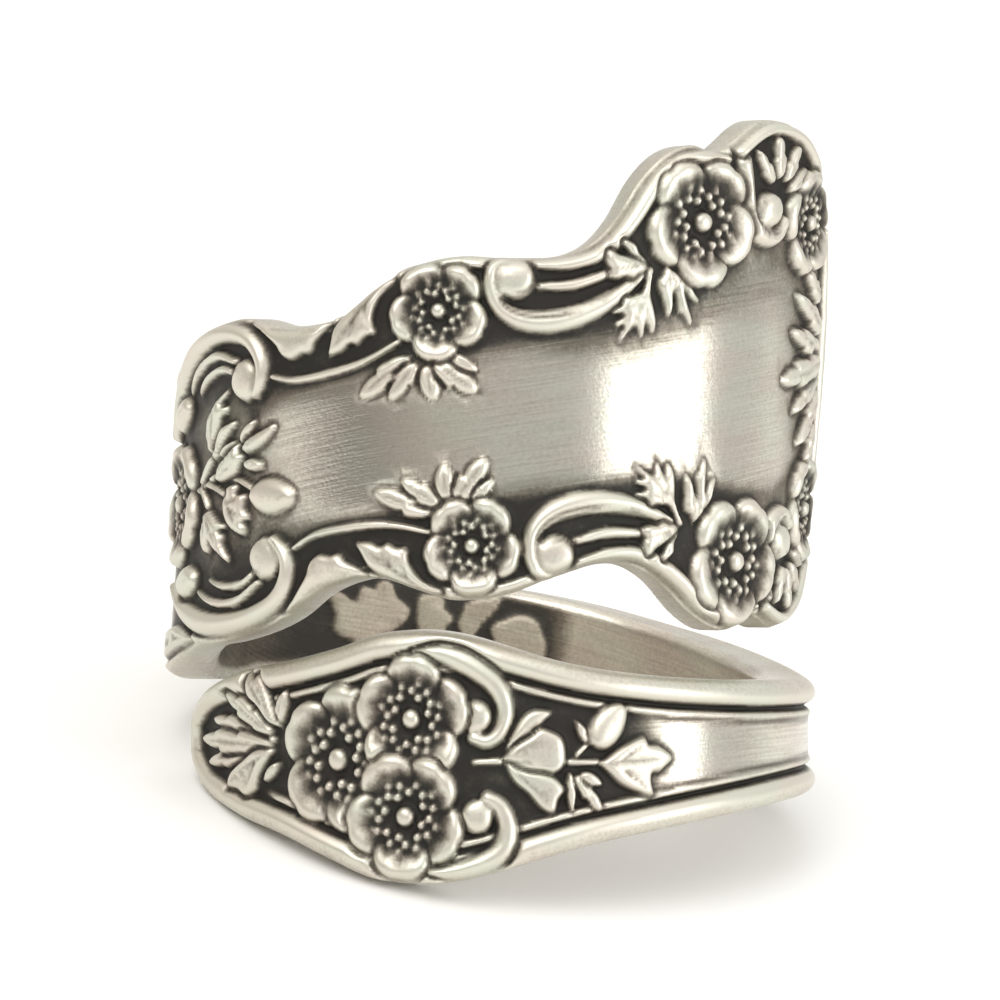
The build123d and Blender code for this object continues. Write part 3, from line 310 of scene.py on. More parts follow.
# Blossoms: middle, radius, turn in degrees
PANEL_BLOSSOMS = [
    ((-13.0, 0.0), 2.1, 36), ((0.02, 3.66), 1.62, 40), ((-0.05, -3.58), 1.62, -24),
    ((8.95, 5.15), 2.1, 48), ((9.15, -5.45), 2.15, -22), ((14.3, 4.55), 1.75, 20),
    ((14.3, -4.55), 1.75, -20),
]
BAND_BLOSSOMS = [((-5.75, -0.17), 2.4, 8), ((-3.1, 1.18), 2.08, 16), ((-3.3, -1.82), 2.1, -24)]
PETALS = 5
STAMENS = 26
stamen_ring = (0.28, 0.55)   # where they stand, as shares of the radius
stamen_size = 0.078          # and so are these
boss_size = 0.16
well_size = 0.54
GOLDEN_TURN = math.pi * (3 - math.sqrt(5))

# Flower on the inner face, from the back of the finger, as drawn leaves
REVERSE_FLOWER = [
    ([(6.15, -0.85), (6.5, -0.85), (6.9, -0.6), (6.85, -0.2), (7.1, 0.2), (7.4, 0.55), (6.8, 0.65),
     (6.4, 0.55), (5.95, 0.4), (5.75, 0.85), (5.5, 1.0), (5.15, 0.9), (4.95, 1.2), (4.5, 1.3),
     (4.25, 1.1), (4.1, 0.8), (3.85, 0.68), (3.5, 0.5), (3.5, 0.2), (3.6, 0.0), (4.2, -0.45), (4.8, -0.8),
     (5.5, -1.05)], [((3.8, 0.1), (5.6, 0.6)), ((4.2, 0.0), (6.6, -0.2))]),
    ([(3.15, 0.05), (3.2, 0.55), (3.2, 0.85), (3.0, 1.05), (2.55, 1.1), (2.15, 1.05), (2.0, 0.9),
     (2.05, 0.7), (1.75, 0.55), (1.6, 0.35), (1.8, 0.15), (2.0, -0.3), (2.4, -0.6), (2.9, -0.4)],
     [((2.3, -0.1), (2.5, 0.7))]),
    ([(1.45, 0.25), (1.35, 0.55), (1.25, 0.95), (1.0, 1.15), (0.6, 1.3), (-0.2, 1.45), (-0.15, 1.1),
     (0.1, 0.75), (0.4, 0.45), (0.55, 0.2), (0.8, -0.2), (1.2, -0.1)], [((1.1, 0.3), (0.4, 1.0))]),
    ([(0.05, 0.25), (0.0, 0.5), (-0.4, 0.7), (-0.7, 0.88), (-1.1, 1.0), (-1.5, 1.0), (-1.85, 0.88),
     (-2.05, 0.62), (-2.25, 0.32), (-2.35, 0.0), (-2.3, -0.4), (-1.8, -0.75), (-1.0, -0.85),
     (-0.4, -0.5)], [((-0.3, 0.1), (-1.5, 0.4))]),
]


def gentle_step(x, low, high):
    t = np.clip((x - low) / (high - low), 0, 1)
    return t * t * (3 - 2 * t)


def smooth_line(points, count):
    """A smooth curve through the points, as count points evenly spaced along it."""
    p = np.asarray(points, float)
    ends = np.vstack([2 * p[0] - p[1], p, 2 * p[-1] - p[-2]])
    t = np.linspace(0, 1, 9)[:-1, None]
    runs = []
    for a, b, c, d in zip(ends, ends[1:], ends[2:], ends[3:]):
        runs.append(0.5 * (2 * b + (c - a) * t + (2 * a - 5 * b + 4 * c - d) * t**2
                           + (3 * b - a - 3 * c + d) * t**3))
    line = np.vstack(runs + [p[-1:]])
    length = np.r_[0, np.cumsum(np.linalg.norm(np.diff(line, axis=0), axis=1))]
    at = np.linspace(0, length[-1], count)
    return np.column_stack([np.interp(at, length, column) for column in line.T])


def from_segment(s, v, start, end):
    """For each place its distance from a segment, how far along the segment, and on which side."""
    (x0, y0), (x1, y1) = start, end
    dx, dy = x1 - x0, y1 - y0
    t = np.clip(((s - x0) * dx + (v - y0) * dy) / (dx * dx + dy * dy), 0, 1)
    off = np.hypot(s - x0 - t * dx, v - y0 - t * dy)
    return off, t, np.sign(dx * (v - y0) - dy * (s - x0))


def table_curve(x, rows):
    """A smooth curve through the rows of a table, with no overshoot between them."""
    xs, ys = np.array(rows, float).T
    slope = np.diff(ys) / np.diff(xs)
    same_way = slope[:-1] * slope[1:] > 0
    both = np.where(same_way, slope[:-1] + slope[1:], 1)
    grade = np.r_[slope[0], np.where(same_way, 2 * slope[:-1] * slope[1:] / both, 0), slope[-1]]
    i = np.clip(np.searchsorted(xs, x) - 1, 0, len(xs) - 2)
    h = xs[i + 1] - xs[i]
    t = (x - xs[i]) / h
    return ((1 + 2 * t) * (1 - t)**2 * ys[i] + t * (1 - t)**2 * h * grade[i]
            + t * t * (3 - 2 * t) * ys[i + 1] + t * t * (t - 1) * h * grade[i + 1])


class Handle:
    """The flat handle and the way it is wound: outline, centre line and radius."""

    def __init__(self):
        self.ground_radius = (finger_bore + bore_growth) / 2 + wall
        self.flat_radius = self.ground_radius + neutral_height * relief
        self.angles = np.linspace(CLIMB[0][0], CLIMB[-1][0], 1081)
        share = table_curve(self.angles, CLIMB)
        padded = np.pad(share, climb_smoothing, mode="reflect", reflect_type="odd")
        window = 2 * climb_smoothing + 1
        self.share = np.convolve(padded, np.full(window, 1 / window), "valid")
        self.rise = band_width + panel_width
        for _ in range(4):
            self.lay_out()
            self.rise = self.rise_for_gap()
        self.lay_out()

    def lay_out(self):
        """Length along the handle at each angle for the present rise, and the outline on it."""
        run = np.radians(np.diff(self.angles)) * self.flat_radius
        self.length = np.r_[0, np.cumsum(np.hypot(run, np.diff(self.share) * self.rise))]
        self.height = (self.share - 0.5) * self.rise
        slope = np.gradient(self.height, np.radians(self.angles) * self.flat_radius)
        self.slope = np.arctan(slope)
        self.band_s = np.interp(band_angle, self.angles, self.length)
        self.panel_s = np.interp(panel_angle, self.angles, self.length)
        self.reverse_s = np.interp(reverse_angle, self.angles, self.length)
        band = [(self.band_s + a * tail_length, w * band_width) for a, w in BAND_EDGE]
        panel = [(self.panel_s + a * panel_reach, w * panel_width) for a, w in PANEL_EDGE]
        tip = [(self.panel_s + a * panel_reach, w * tip_width) for a, w in TIP_EDGE]
        a, b = band[-1][0] + band_run * tail_length, panel[0][0] - panel_run * panel_reach
        shank = [(x, shank_width / 2) for x in (a, (a + b) / 2, b)]
        self.edge = smooth_line(band + shank + panel + tip, 1600)

    def rise_for_gap(self):
        """The rise that leaves turn_gap where the upper turn comes nearest to the lower one."""
        front = self.angles[(self.angles > front_angles[0]) & (self.angles < front_angles[1])]
        low_s, high_s = (np.interp(front + turn, self.angles, self.length) for turn in (0, 360))
        high_s = np.minimum(high_s, self.edge[-1, 0])
        low, high = (np.interp(front + turn, self.angles, self.share) for turn in (0, 360))
        return np.max((turn_gap + self.half_width(low_s) + self.half_width(high_s)) / (high - low))

    def half_width(self, s):
        return np.interp(s, self.edge[:, 0], self.edge[:, 1], left=0, right=0)

    def on_panel(self, s):
        return (s - self.panel_s) / panel_reach

    def on_band(self, s):
        return (s - self.band_s) / tail_length

    def wind(self, s, v, h):
        """Flat places, with their height over the ground, as points of the wound ring."""
        turn = np.interp(s, self.length, self.angles)
        slope = np.interp(s, self.length, self.slope)
        angle = np.radians(turn) - v * np.sin(slope) / self.flat_radius
        z = np.interp(s, self.length, self.height) + v * np.cos(slope)
        upper = gentle_step(turn, *growth_angles)
        tip, tail = gentle_step(turn, *tip_angles), gentle_step(-turn, *tail_angles)
        limb = gentle_step(turn, *limb_angles[:2]) * (1 - gentle_step(turn, *limb_angles[2:]))
        flare = v * (tip_flare * tip - limb_flare * limb) + end_spring * (tip + tail)
        r = self.ground_radius + bore_growth / 2 * (upper - 1) + flare + h
        shift = -turn_shift * upper
        return np.column_stack([r * np.sin(angle) + shift, -r * np.cos(angle), z])


class FlatMap:
    """A measure over the flat handle, held on an even grid."""

    def __init__(self, handle, step):
        self.step = step
        half = handle.edge[:, 1].max() + 4 * step
        self.s = np.arange(handle.edge[0, 0] - 4 * step, handle.edge[-1, 0] + 5 * step, step)
        self.v = np.arange(-half, half + step, step)
        self.values = np.zeros((len(self.s), len(self.v)))

    def like(self, values):
        """A map of other values on the same grid."""
        other = copy.copy(self)
        other.values = values
        return other

    def at(self, s, v):
        """The measure at any places, between the four nearest of the grid."""
        x = np.clip((s - self.s[0]) / self.step, 0, len(self.s) - 1.001)
        y = np.clip((v - self.v[0]) / self.step, 0, len(self.v) - 1.001)
        i, j = x.astype(int), y.astype(int)
        x, y, m = x - i, y - j, self.values
        return (m[i, j] * (1 - x) * (1 - y) + m[i + 1, j] * x * (1 - y)
                + m[i, j + 1] * (1 - x) * y + m[i + 1, j + 1] * x * y)

    def window(self, low, high):
        """The part of the grid inside a box, with its places along and across."""
        i = slice(*np.searchsorted(self.s, (low[0], high[0])))
        j = slice(*np.searchsorted(self.v, (low[1], high[1])))
        return (i, j), self.s[i, None], self.v[None, j]

    def blurred(self, width):
        """The values averaged over about width, in three passes of a sliding mean."""
        reach = max(1, round(width / self.step / 2))
        m = self.values
        for _ in range(3):
            for axis in (0, 1):
                margin = [(reach + 1, reach) if a == axis else (0, 0) for a in (0, 1)]
                total = np.cumsum(np.pad(m, margin, "edge"), axis=axis)
                n = m.shape[axis]
                high = np.take(total, np.arange(2 * reach + 1, 2 * reach + 1 + n), axis=axis)
                low = np.take(total, np.arange(n), axis=axis)
                m = (high - low) / (2 * reach + 1)
        return m


def inset_map(handle):
    """Distance inside the outline, less than nothing outside it."""
    inset = FlatMap(handle, inset_step)
    s, v = np.meshgrid(inset.s, np.abs(inset.v), indexing="ij")
    gaps = np.linalg.norm(np.diff(handle.edge, axis=0), axis=1)
    line = smooth_line(handle.edge, int(gaps.sum() / outline_step))
    middle = np.clip(np.searchsorted(line[:, 0], s), 1, len(line) - 2)
    best = np.full(s.shape, np.inf)
    for step in range(-outline_reach, outline_reach + 1):
        i = np.clip(middle + step, 0, len(line) - 2)
        off, _, _ = from_segment(s, v, line[i].transpose(2, 0, 1), line[i + 1].transpose(2, 0, 1))
        best = np.minimum(best, off)
    inset.values = np.where(v < handle.half_width(s), best, -best)
    return inset


def shoulder(depth, width):
    """Rises from the foot of a motif to its level top in a rounded shoulder."""
    return np.sqrt(np.clip(1 - (1 - np.clip(depth / width, 0, 1))**2, 0, 1))


class Relief(FlatMap):
    """The raised ornament of one face: heights over its ground, and how much oxide is left, with painted
    shade on the petals and at the field's edges.
    """

    def __init__(self, handle, height):
        super().__init__(handle, map_step)
        self.top = height
        self.oxide_and_shade = np.zeros_like(self.values)
        self.plain = np.zeros_like(self.values)

    def lay(self, window, depth, own, oxide_and_shade=0.0, share=1.0, valley=0.12, joined=0.0):
        """Puts a motif over what is there. depth is the distance inside its border, own its height
        as a share of the relief, and where it is joined to its neighbour no groove parts them."""
        near = np.maximum(gentle_step(-depth, 0, valley), np.maximum(joined, 0.5 * self.plain[window]))
        under, dark = self.values[window], self.oxide_and_shade[window]
        own = np.maximum(share * self.top * own, 0.02)
        self.values[window] = np.where(depth > 0, own, under * (0.25 + 0.75 * near))
        self.oxide_and_shade[window] = np.where(depth > 0, oxide_and_shade, np.maximum(dark, 1 - near))
        self.plain[window] *= gentle_step(-depth, 0, 0.3)

    def box_round(self, points, margin):
        """The part of the grid round some points, with its places along and across."""
        return self.window(np.min(points, axis=0) - margin, np.max(points, axis=0) + margin)

    def stroke(self, points, half_widths, share, lined):
        """A rounded band along a line, with a fine line cut beside one border where lined says so."""
        line = smooth_line(points, max(6, 4 * len(points)))
        widths = np.interp(np.linspace(0, 1, len(line)), np.linspace(0, 1, len(half_widths)), half_widths)
        window, s, v = self.box_round(line, widths.max() + 0.15)
        depth = np.full((s + v).shape, -np.inf)
        width, across = np.ones_like(depth), np.zeros_like(depth)
        for start, end, w0, w1 in zip(line, line[1:], widths, widths[1:]):
            off, t, side = from_segment(s, v, start, end)
            w = w0 + t * (w1 - w0)
            closer = w - off > depth
            depth, width = np.where(closer, w - off, depth), np.where(closer, w, width)
            across = np.where(closer, side * off / w, across)
        cut = abs(lined) * np.exp(-((across - 0.42 * lined) / 0.17)**2) * gentle_step(width, 0.2, 0.3)
        self.lay(window, depth, shoulder(depth, width) - 0.22 * cut, 0.60 * cut, share)

    def knob(self, middle, radius, hand, end, share=1.05):
        """The round end of a scroll, which grows out of the scroll's end and has a groove beside it."""
        x, y = middle
        window, s, v = self.box_round([middle], radius + 0.2)
        r = np.hypot(s - x, v - y) / radius
        turn = hand * (np.arctan2(v - y, s - x) - math.atan2(end[1] - y, end[0] - x)) / math.tau
        way = (turn + 0.5) % 1 - 0.5
        joined = 1 - gentle_step(np.abs(way + 0.10), 0.20, 0.30)
        around = way % 1
        groove = np.exp(-((r - 1.02 + 0.75 * (around - 0.1)) / 0.10)**2) * gentle_step(around, 0.10, 0.25)
        groove = groove * (1 - gentle_step(around, 0.50, 0.68))
        own = 0.70 + 0.30 * np.sqrt(np.clip(1 - r**2, 0, 1))
        own = own * np.maximum(shoulder(1 - r, 0.40), 0.85 * joined) - 0.22 * groove
        self.lay(window, (1 - r) * radius, own, 0.55 * groove, share, joined=joined)

    def lengthwise(self, base, tip, half_width):
        """The grid round a leaf or bud, the share along it, the place across it, and what is past it."""
        (x0, y0), (x1, y1) = base, tip
        length = math.hypot(x1 - x0, y1 - y0)
        ux, uy = (x1 - x0) / length, (y1 - y0) / length
        window, s, v = self.box_round([base, tip], half_width + 0.2)
        t = ((s - x0) * ux + (v - y0) * uy) / length
        n = (v - y0) * ux - (s - x0) * uy
        return window, t, n, np.maximum(-t, t - 1) * length

    def leaf(self, base, tip, half_width, lobes, share=0.88):
        """A pointed leaf with lobes along its sides, a middle vein and a crease to each lobe."""
        window, t, n, past = self.lengthwise(base, tip, half_width)
        inside = np.clip(t, 0, 1)
        width = 2.25 * half_width * inside**0.60 * (1 - inside)**0.68
        phase = lobes * (inside + 0.04 * np.sign(n))
        lobe = phase - np.floor(phase)
        width = width * (1 - 0.38 * (1 - lobe)**2 * (lobes > 1) * gentle_step(inside, 0.15, 0.45)) + 1e-4
        depth = np.where(past > 0, -np.hypot(past, np.abs(n)), width - np.abs(n))
        out = np.abs(n) / width
        own = (0.86 + 0.14 * gentle_step(out, 0.0, 0.7)) * shoulder(depth, 0.45 * half_width)
        vein = np.exp(-(n / vein_width)**2) * (1 - gentle_step(t, 0.75, 0.95))
        crease = phase + 0.55 * out
        crease = np.clip(1 - np.abs(crease - np.round(crease)) / 0.10, 0, 1)
        crease = crease * gentle_step(out, 0.3, 0.8) * (lobes > 1)
        oxide_and_shade = np.maximum(0.32 * vein, 0.30 * crease)
        self.lay(window, depth, own - 0.10 * vein - 0.10 * crease, oxide_and_shade, share)

    def drawn_leaf(self, border, creases, share=0.86):
        """A leaf inside a drawn border, with creases cut into it."""
        border = smooth_line(border + border[:1], 3 * len(border))[:-1]
        window, s, v = self.box_round(border, 0.3)
        off, cut = np.full((s + v).shape, np.inf), np.zeros((s + v).shape)
        inside = np.zeros((s + v).shape, bool)
        for start, end in zip(border, np.roll(border, -1, axis=0)):
            off = np.minimum(off, from_segment(s, v, start, end)[0])
            dx, dy = end - start
            if dy:
                inside ^= ((start[1] > v) != (end[1] > v)) & (s < start[0] + (v - start[1]) * dx / dy)
        for start, end in creases:
            away, t, _ = from_segment(s, v, start, end)
            cut = np.maximum(cut, np.exp(-(away / vein_width)**2) * (1 - 0.5 * t))
        depth = np.where(inside, off, -off) + 0.02
        self.lay(window, depth, shoulder(depth, leaf_shoulder) - 0.26 * cut, 0.50 * cut, share)

    def bud(self, base, tip, half_width, share=0.98):
        """A closed bud: an egg with fine lines along it."""
        window, t, n, past = self.lengthwise(base, tip, half_width)
        along = np.clip(t, 0, 1)**0.85
        width = half_width * np.sqrt(np.clip(1 - (2 * along - 1)**2, 0, 1))
        depth = np.where(past > 0, -np.hypot(past, np.abs(n)), width - np.abs(n))
        lines = np.clip(np.cos(9 * n / half_width), 0, 1)**4 * gentle_step(t, 0.45, 0.85)
        self.lay(window, depth, shoulder(depth, 0.8 * half_width) - 0.10 * lines, 0.35 * lines, share)

    def blossom(self, middle, radius, turn):
        """An open blossom: cupped petals that overlap, a well of stamens and a boss in the middle."""
        window, s, v = self.box_round([middle], 1.15 * radius)
        dx, dy = (s - middle[0]) / radius, (v - middle[1]) / radius
        r = np.hypot(dx, dy)
        for k in range(PETALS):
            a = math.radians(turn) + k * math.tau / PETALS
            along = dx * math.cos(a) + dy * math.sin(a) - 0.62
            across = dy * math.cos(a) - dx * math.sin(a)
            notch = 0.10 * np.exp(-(across / 0.08)**2) * gentle_step(along, 0.1, 0.35)
            off = np.hypot(along / 0.38, across / 0.46) + notch
            depth = (1 - off) * 0.38 * radius
            streaks = np.cos(17 * np.arctan2(across, along + 0.75))
            cup = 0.22 + 0.78 * gentle_step(r, 0.42, 0.88)
            own = (cup - 0.035 * streaks * (1 - gentle_step(r, 0.75, 0.95))) * shoulder(depth, 0.16 * radius)
            # Partly oxide in the cup and partly painted shade: each petal is darker over its inner half
            # towards the well
            rim = 0.68 + 0.035 * streaks + 0.05 * math.cos(7 * k)
            shade = 0.80 * (1 - gentle_step(r, rim - 0.16, rim + 0.12))
            self.lay(window, depth, own, shade, valley=0.07)
        floor = self.top * (0.12 + 0.3 * gentle_step(r, 0.42, well_size))
        heights, dark = self.values[window], self.oxide_and_shade[window]
        heights[:] = np.where(r < well_size, np.minimum(heights, floor), heights)
        dark[:] = np.where(r < well_size, np.maximum(dark, 0.9), dark)
        for k in range(STAMENS):
            share = (k + 0.5) / STAMENS
            reach = math.sqrt(stamen_ring[0]**2 * (1 - share) + stamen_ring[1]**2 * share)
            a = math.radians(turn) + k * GOLDEN_TURN
            off = np.hypot(dx - reach * math.cos(a), dy - reach * math.sin(a)) / stamen_size
            bead = self.top * (0.24 + (0.42 - 0.12 * share) * np.sqrt(np.clip(1 - off**2, 0, 1)))
            heights[:] = np.where(off < 1, np.maximum(heights, bead), heights)
            dark[:] = np.where(off < 1, np.minimum(dark, 0.12 + 0.68 * off**2.5), dark)
        boss = np.sqrt(np.clip(1 - (r / boss_size)**2, 0, 1))
        heights[:] = np.where(r < boss_size, self.top * (0.30 + 0.52 * boss), heights)
        dark[:] = np.where(r < 0.15, 0.1 + 0.4 * (r / 0.15)**4, dark)


def lay_ground(face, handle, inset):
    """The ground with the brushed field, the plain shank, the threads and the rims."""
    s, v = np.meshgrid(face.s, face.v, indexing="ij")
    edge = inset.at(s, v)
    on_panel, on_band = handle.on_panel(s), handle.on_band(s)
    places, halves = np.array(FIELD_EDGE).T
    inner = np.interp(on_panel, places, halves * panel_width, left=-1, right=-1) - np.abs(v)
    field = gentle_step(inner, -0.20, 0.45) * gentle_step(on_panel, -0.56, -0.30)
    field = field * (1 - gentle_step(on_panel, 0.66, 0.86))
    # Partly oxide and partly painted shade: the field is darker over a wide margin along its edges, widest
    # along its upper edge towards the tip, and a little darker at its left end
    edge_shade_reach = 0.9 + 1.3 * gentle_step(on_panel, 0.10, 0.40) * (v > 0)
    clean_field_edge_shaded = field * gentle_step(inner, -0.3, edge_shade_reach) * (0.86 + 0.14 * gentle_step(on_panel, -0.35, -0.10))
    to_panel = gentle_step(on_panel, -1.00, -0.85)
    plain = gentle_step(on_band, 0.25, 0.42) * (1 - to_panel)
    inner_edge = thread_inset + thread_width / 2
    flat = plain * gentle_step(edge, thread_inset, inner_edge)
    thread = gentle_step(on_band, -0.64, -0.56) * (1 - to_panel)
    thread = thread * shoulder(thread_width / 2 - np.abs(edge - thread_inset), thread_width / 2)
    half = (shank_rim + to_panel * (panel_rim - shank_rim)) / 2
    rim = shoulder(2 * half - np.maximum(edge, 0), half)
    crest = relief * (0.38 + 1.36 * half / shank_rim)
    h = np.maximum(0.30 * relief * field, relief * np.maximum(0.46 * flat, 0.66 * thread))
    face.values = np.maximum(h, crest * rim)
    spray_ground = gentle_step(on_panel, -0.72, -0.60) * gentle_step(2.4 - np.abs(v), -0.4, 0.4)
    tip_ground = gentle_step(on_panel, 0.52, 0.66) * gentle_step(5.0 - np.abs(v), -0.6, 0.6)
    ground = 0.86 - 0.36 * spray_ground * (on_panel < 0) - 0.46 * tip_ground
    light = np.maximum.reduce([clean_field_edge_shaded, flat, 0.8 * thread, gentle_step(rim, 0.15, 0.6)])
    seam = np.exp(-((edge - inner_edge - 0.03) / 0.065)**2) * plain
    face.oxide_and_shade = np.maximum(ground * (1 - light), 0.70 * seam)
    face.plain = np.maximum(field, flat)


def placed(points, origin, side=1):
    """Points of an ornament on the handle, from their middle, mirrored where side is -1."""
    return [(origin + a, side * b) for a, b in points]


def lay_ornament(face, origin, side, strokes, scrolls, leaves, drawn_leaves, buds):
    """The rows of the tables of one ornament, laid on a face."""
    for points, half_widths, share, lined in strokes:
        face.stroke(placed(points, origin, side), half_widths, share, side * lined)
    for *stroke, middle, radius, hand in scrolls:
        lay_ornament(face, origin, side, [stroke], [], [], [], [])
        middle, end = placed([middle, stroke[0][-1]], origin, side)
        face.knob(middle, radius, side * hand, end)
    for base, tip, half_width, lobes in leaves:
        face.leaf(*placed([base, tip], origin, side), half_width, lobes)
    for border, creases in drawn_leaves:
        face.drawn_leaf(placed(border, origin, side), [placed(ends, origin, side) for ends in creases])
    for base, tip, half_width in buds:
        face.bud(*placed([base, tip], origin, side), half_width)


def front_relief(handle, inset):
    """All the ornament of the outer face."""
    face = Relief(handle, relief)
    lay_ground(face, handle, inset)
    panel, band = handle.panel_s, handle.band_s
    for side in (1, -1):
        lay_ornament(face, panel, side, PANEL_STROKES, PANEL_SCROLLS, PANEL_LEAVES, PANEL_DRAWN_LEAVES,
                     PANEL_BUDS)
    lay_ornament(face, panel, 1, SPRAY_STEMS, [], SPRAY_LEAVES, SPRAY_DRAWN_LEAVES, SPRAY_BUDS)
    lay_ornament(face, band, 1, BAND_STROKES, BAND_SCROLLS, BAND_LEAVES, BAND_DRAWN_LEAVES, BAND_BUDS)
    for origin, blossoms in ((panel, PANEL_BLOSSOMS), (band, BAND_BLOSSOMS)):
        for middle, radius, turn in blossoms:
            face.blossom(placed([middle], origin)[0], radius, turn)
    return face


def reverse_flower(handle):
    """The low flower on the inner face at the back of the finger."""
    face = Relief(handle, reverse_relief)
    lay_ornament(face, handle.reverse_s, 1, [], [], [], REVERSE_FLOWER, [])
    return face


def finished(face, width):
    """Rounds the heights a little, and gives maps of the tone, 1 full oxide with painted shade and below 0
    worn bright, and of the plain brushed places."""
    face.values = face.blurred(width)
    tone, plain = (face.like(values) for values in (face.oxide_and_shade, face.plain))
    near = (face.blurred(0.25) - face.values) / (0.16 * relief)
    tone.values = tone.blurred(width) + 0.30 * np.clip(near, -1, 1)
    return tone, plain


def inner_tone(handle, reverse):
    """Oxide and painted shade on the inner face: dark round the flower, worn on its petals and fading away
    from it.
    """
    along = reverse.s[:, None] - handle.reverse_s
    # Partly oxide and partly painted shade inside the ring: dark from just before the flower, fading further
    # along the handle
    stain_and_shade = stain_and_shade_share + (1 - stain_and_shade_share) * gentle_step(along, *stain_and_shade_start)
    for start, end, share in stain_and_shade_fade:
        stain_and_shade = stain_and_shade - share * gentle_step(along, start, end)
    petals = gentle_step(reverse.values, 0.0, 0.7 * reverse_relief)
    return reverse.like(inner_oxide_and_shade * stain_and_shade * (1 - petal_wear * petals))


# The mesh

class Blank:
    """Places on the flat handle by column along the outline and by row across it."""

    def __init__(self, handle):
        self.handle = handle
        s, half = handle.edge.T
        plain = gentle_step(handle.on_band(s), 0.45, 0.60)
        ornate = 1 - plain * (1 - gentle_step(handle.on_panel(s), -1.15, -1.0))
        run = np.linalg.norm(np.diff(handle.edge, axis=0), axis=1) * (0.45 + 0.55 * ornate[1:])
        total = np.r_[0, np.cumsum(run)]
        self.columns = round(total[-1] / column_step)
        self.rows = blank_rows // 2
        self.s = np.interp(np.linspace(0, total[-1], self.columns + 1), total, s)
        lean = np.gradient(handle.half_width(self.s), self.s)
        self.stretch = np.minimum(np.hypot(1, lean), 12)

    def place(self, column, row):
        """The place of a column and row, both of which may lie between the blank's own."""
        columns = np.arange(self.columns + 1)
        s, stretch = np.interp(column, columns, self.s), np.interp(column, columns, self.stretch)
        half = self.handle.half_width(s)

        def border(row):
            """How far out a row lies while it keeps its distance from the outline."""
            inset = np.interp(self.rows - row, np.arange(len(edge_rows)), edge_rows)
            return half - np.minimum(inset * stretch, 0.5 * half * inset / edge_rows[-1])

        out, rest = np.abs(row), self.rows - len(edge_rows) + 1
        v = np.where(out >= rest, border(out), out / rest * border(rest))
        return s, np.sign(row) * v


def bend_missed(bm, faces, height):
    """How far the surface lies from each of the faces, in the middle and along the sides."""
    missed = np.zeros(len(faces))
    sizes = np.array([len(f.verts) for f in faces])
    flat = np.array([v.co[:2] for v in bm.verts])
    for size in set(sizes.tolist()):
        own = np.flatnonzero(sizes == size)
        corners = flat[np.array([[v.index for v in faces[i].verts] for i in own])]
        heights = height(corners[..., 0].ravel(), corners[..., 1].ravel()).reshape(len(own), size)
        middle, level = corners.mean(axis=1), heights.mean(axis=1)
        for k in range(size):
            ends, levels = corners[:, [k, k - 1]], heights[:, [k, k - 1]]
            for at, guess in ((ends.mean(axis=1), levels.mean(axis=1)),
                              ((corners[:, k] + middle) / 2, (heights[:, k] + level) / 2), (middle, level)):
                miss = np.abs(height(at[:, 0], at[:, 1]) - guess)
                missed[own] = np.maximum(missed[own], miss)
    return missed


def rounding(inset, radius):
    """How far the metal drops towards an edge rounded by this radius."""
    near = radius - np.clip(inset, 0, radius)
    return radius - np.sqrt(np.maximum(radius**2 - near**2, 0))


def strike_handle(handle, inset, face, tone, reverse, back_tone):
    """The blank as a closed mesh of columns and rows, divided where the relief or its tone bends."""
    blank = Blank(handle)

    def front(column, row):
        s, v = blank.place(column, row)
        return face.at(s, v) - rounding(inset.at(s, v), outer_round)

    def front_detail(column, row):
        return front(column, row) + tone_weight * tone.at(*blank.place(column, row))

    def back(column, row):
        s, v = blank.place(column, row)
        return -wall - reverse.at(s, v) + rounding(inset.at(s, v), inner_round)

    def back_detail(column, row):
        return back(column, row) + inner_tone_weight * back_tone.at(*blank.place(column, row))
    bm = bmesh.new()
    bmesh.ops.create_grid(bm, x_segments=blank.columns, y_segments=2 * blank.rows, size=1,
                          matrix=Matrix.Translation((blank.columns / 2, 0, 0))
                          @ Matrix.Diagonal((blank.columns / 2, blank.rows, 1, 1)))
    made = bmesh.ops.extrude_face_region(bm, geom=bm.faces[:], use_keep_orig=True)
    lower = [v for v in made["geom"] if isinstance(v, bmesh.types.BMVert)]
    bmesh.ops.translate(bm, verts=lower, vec=(0, 0, -1))
    for limit in bend_limits:
        bm.verts.index_update()
        for level, height in ((0, front_detail), (-1, back_detail)):
            faces = [f for f in bm.faces if all(v.co.z == level for v in f.verts)]
            missed = bend_missed(bm, faces, height)
            edges = {e for i in np.flatnonzero(missed > limit) for e in faces[i].edges}
            bmesh.ops.subdivide_edges(bm, edges=list(edges), cuts=1, use_grid_fill=True)
            bm.verts.index_update()
    flat = np.array([v.co[:] for v in bm.verts])
    s, v = blank.place(flat[:, 0], flat[:, 1])
    is_front = flat[:, 2] == 0
    h = np.where(is_front, front(flat[:, 0], flat[:, 1]), back(flat[:, 0], flat[:, 1]))
    return bm, s, v, h, is_front


def rest_turn():
    """The turn that lays the ring down as it rests by itself."""
    side = math.radians(rest_side)
    return Matrix.Rotation(math.radians(rest_lean), 3, (-math.sin(side), math.cos(side), 0))


def at_rest(points):
    """The ring's points as they rest over the middle of the solid's box, and their last shift."""
    points = points * MM @ np.array(rest_turn()).T
    low, high = (np.array(corner) for corner in cad_box)
    shift = (low + high) / 2 - (points.min(axis=0) + points.max(axis=0)) / 2
    shift[2] = low[2] - points[:, 2].min()
    return points + shift, shift


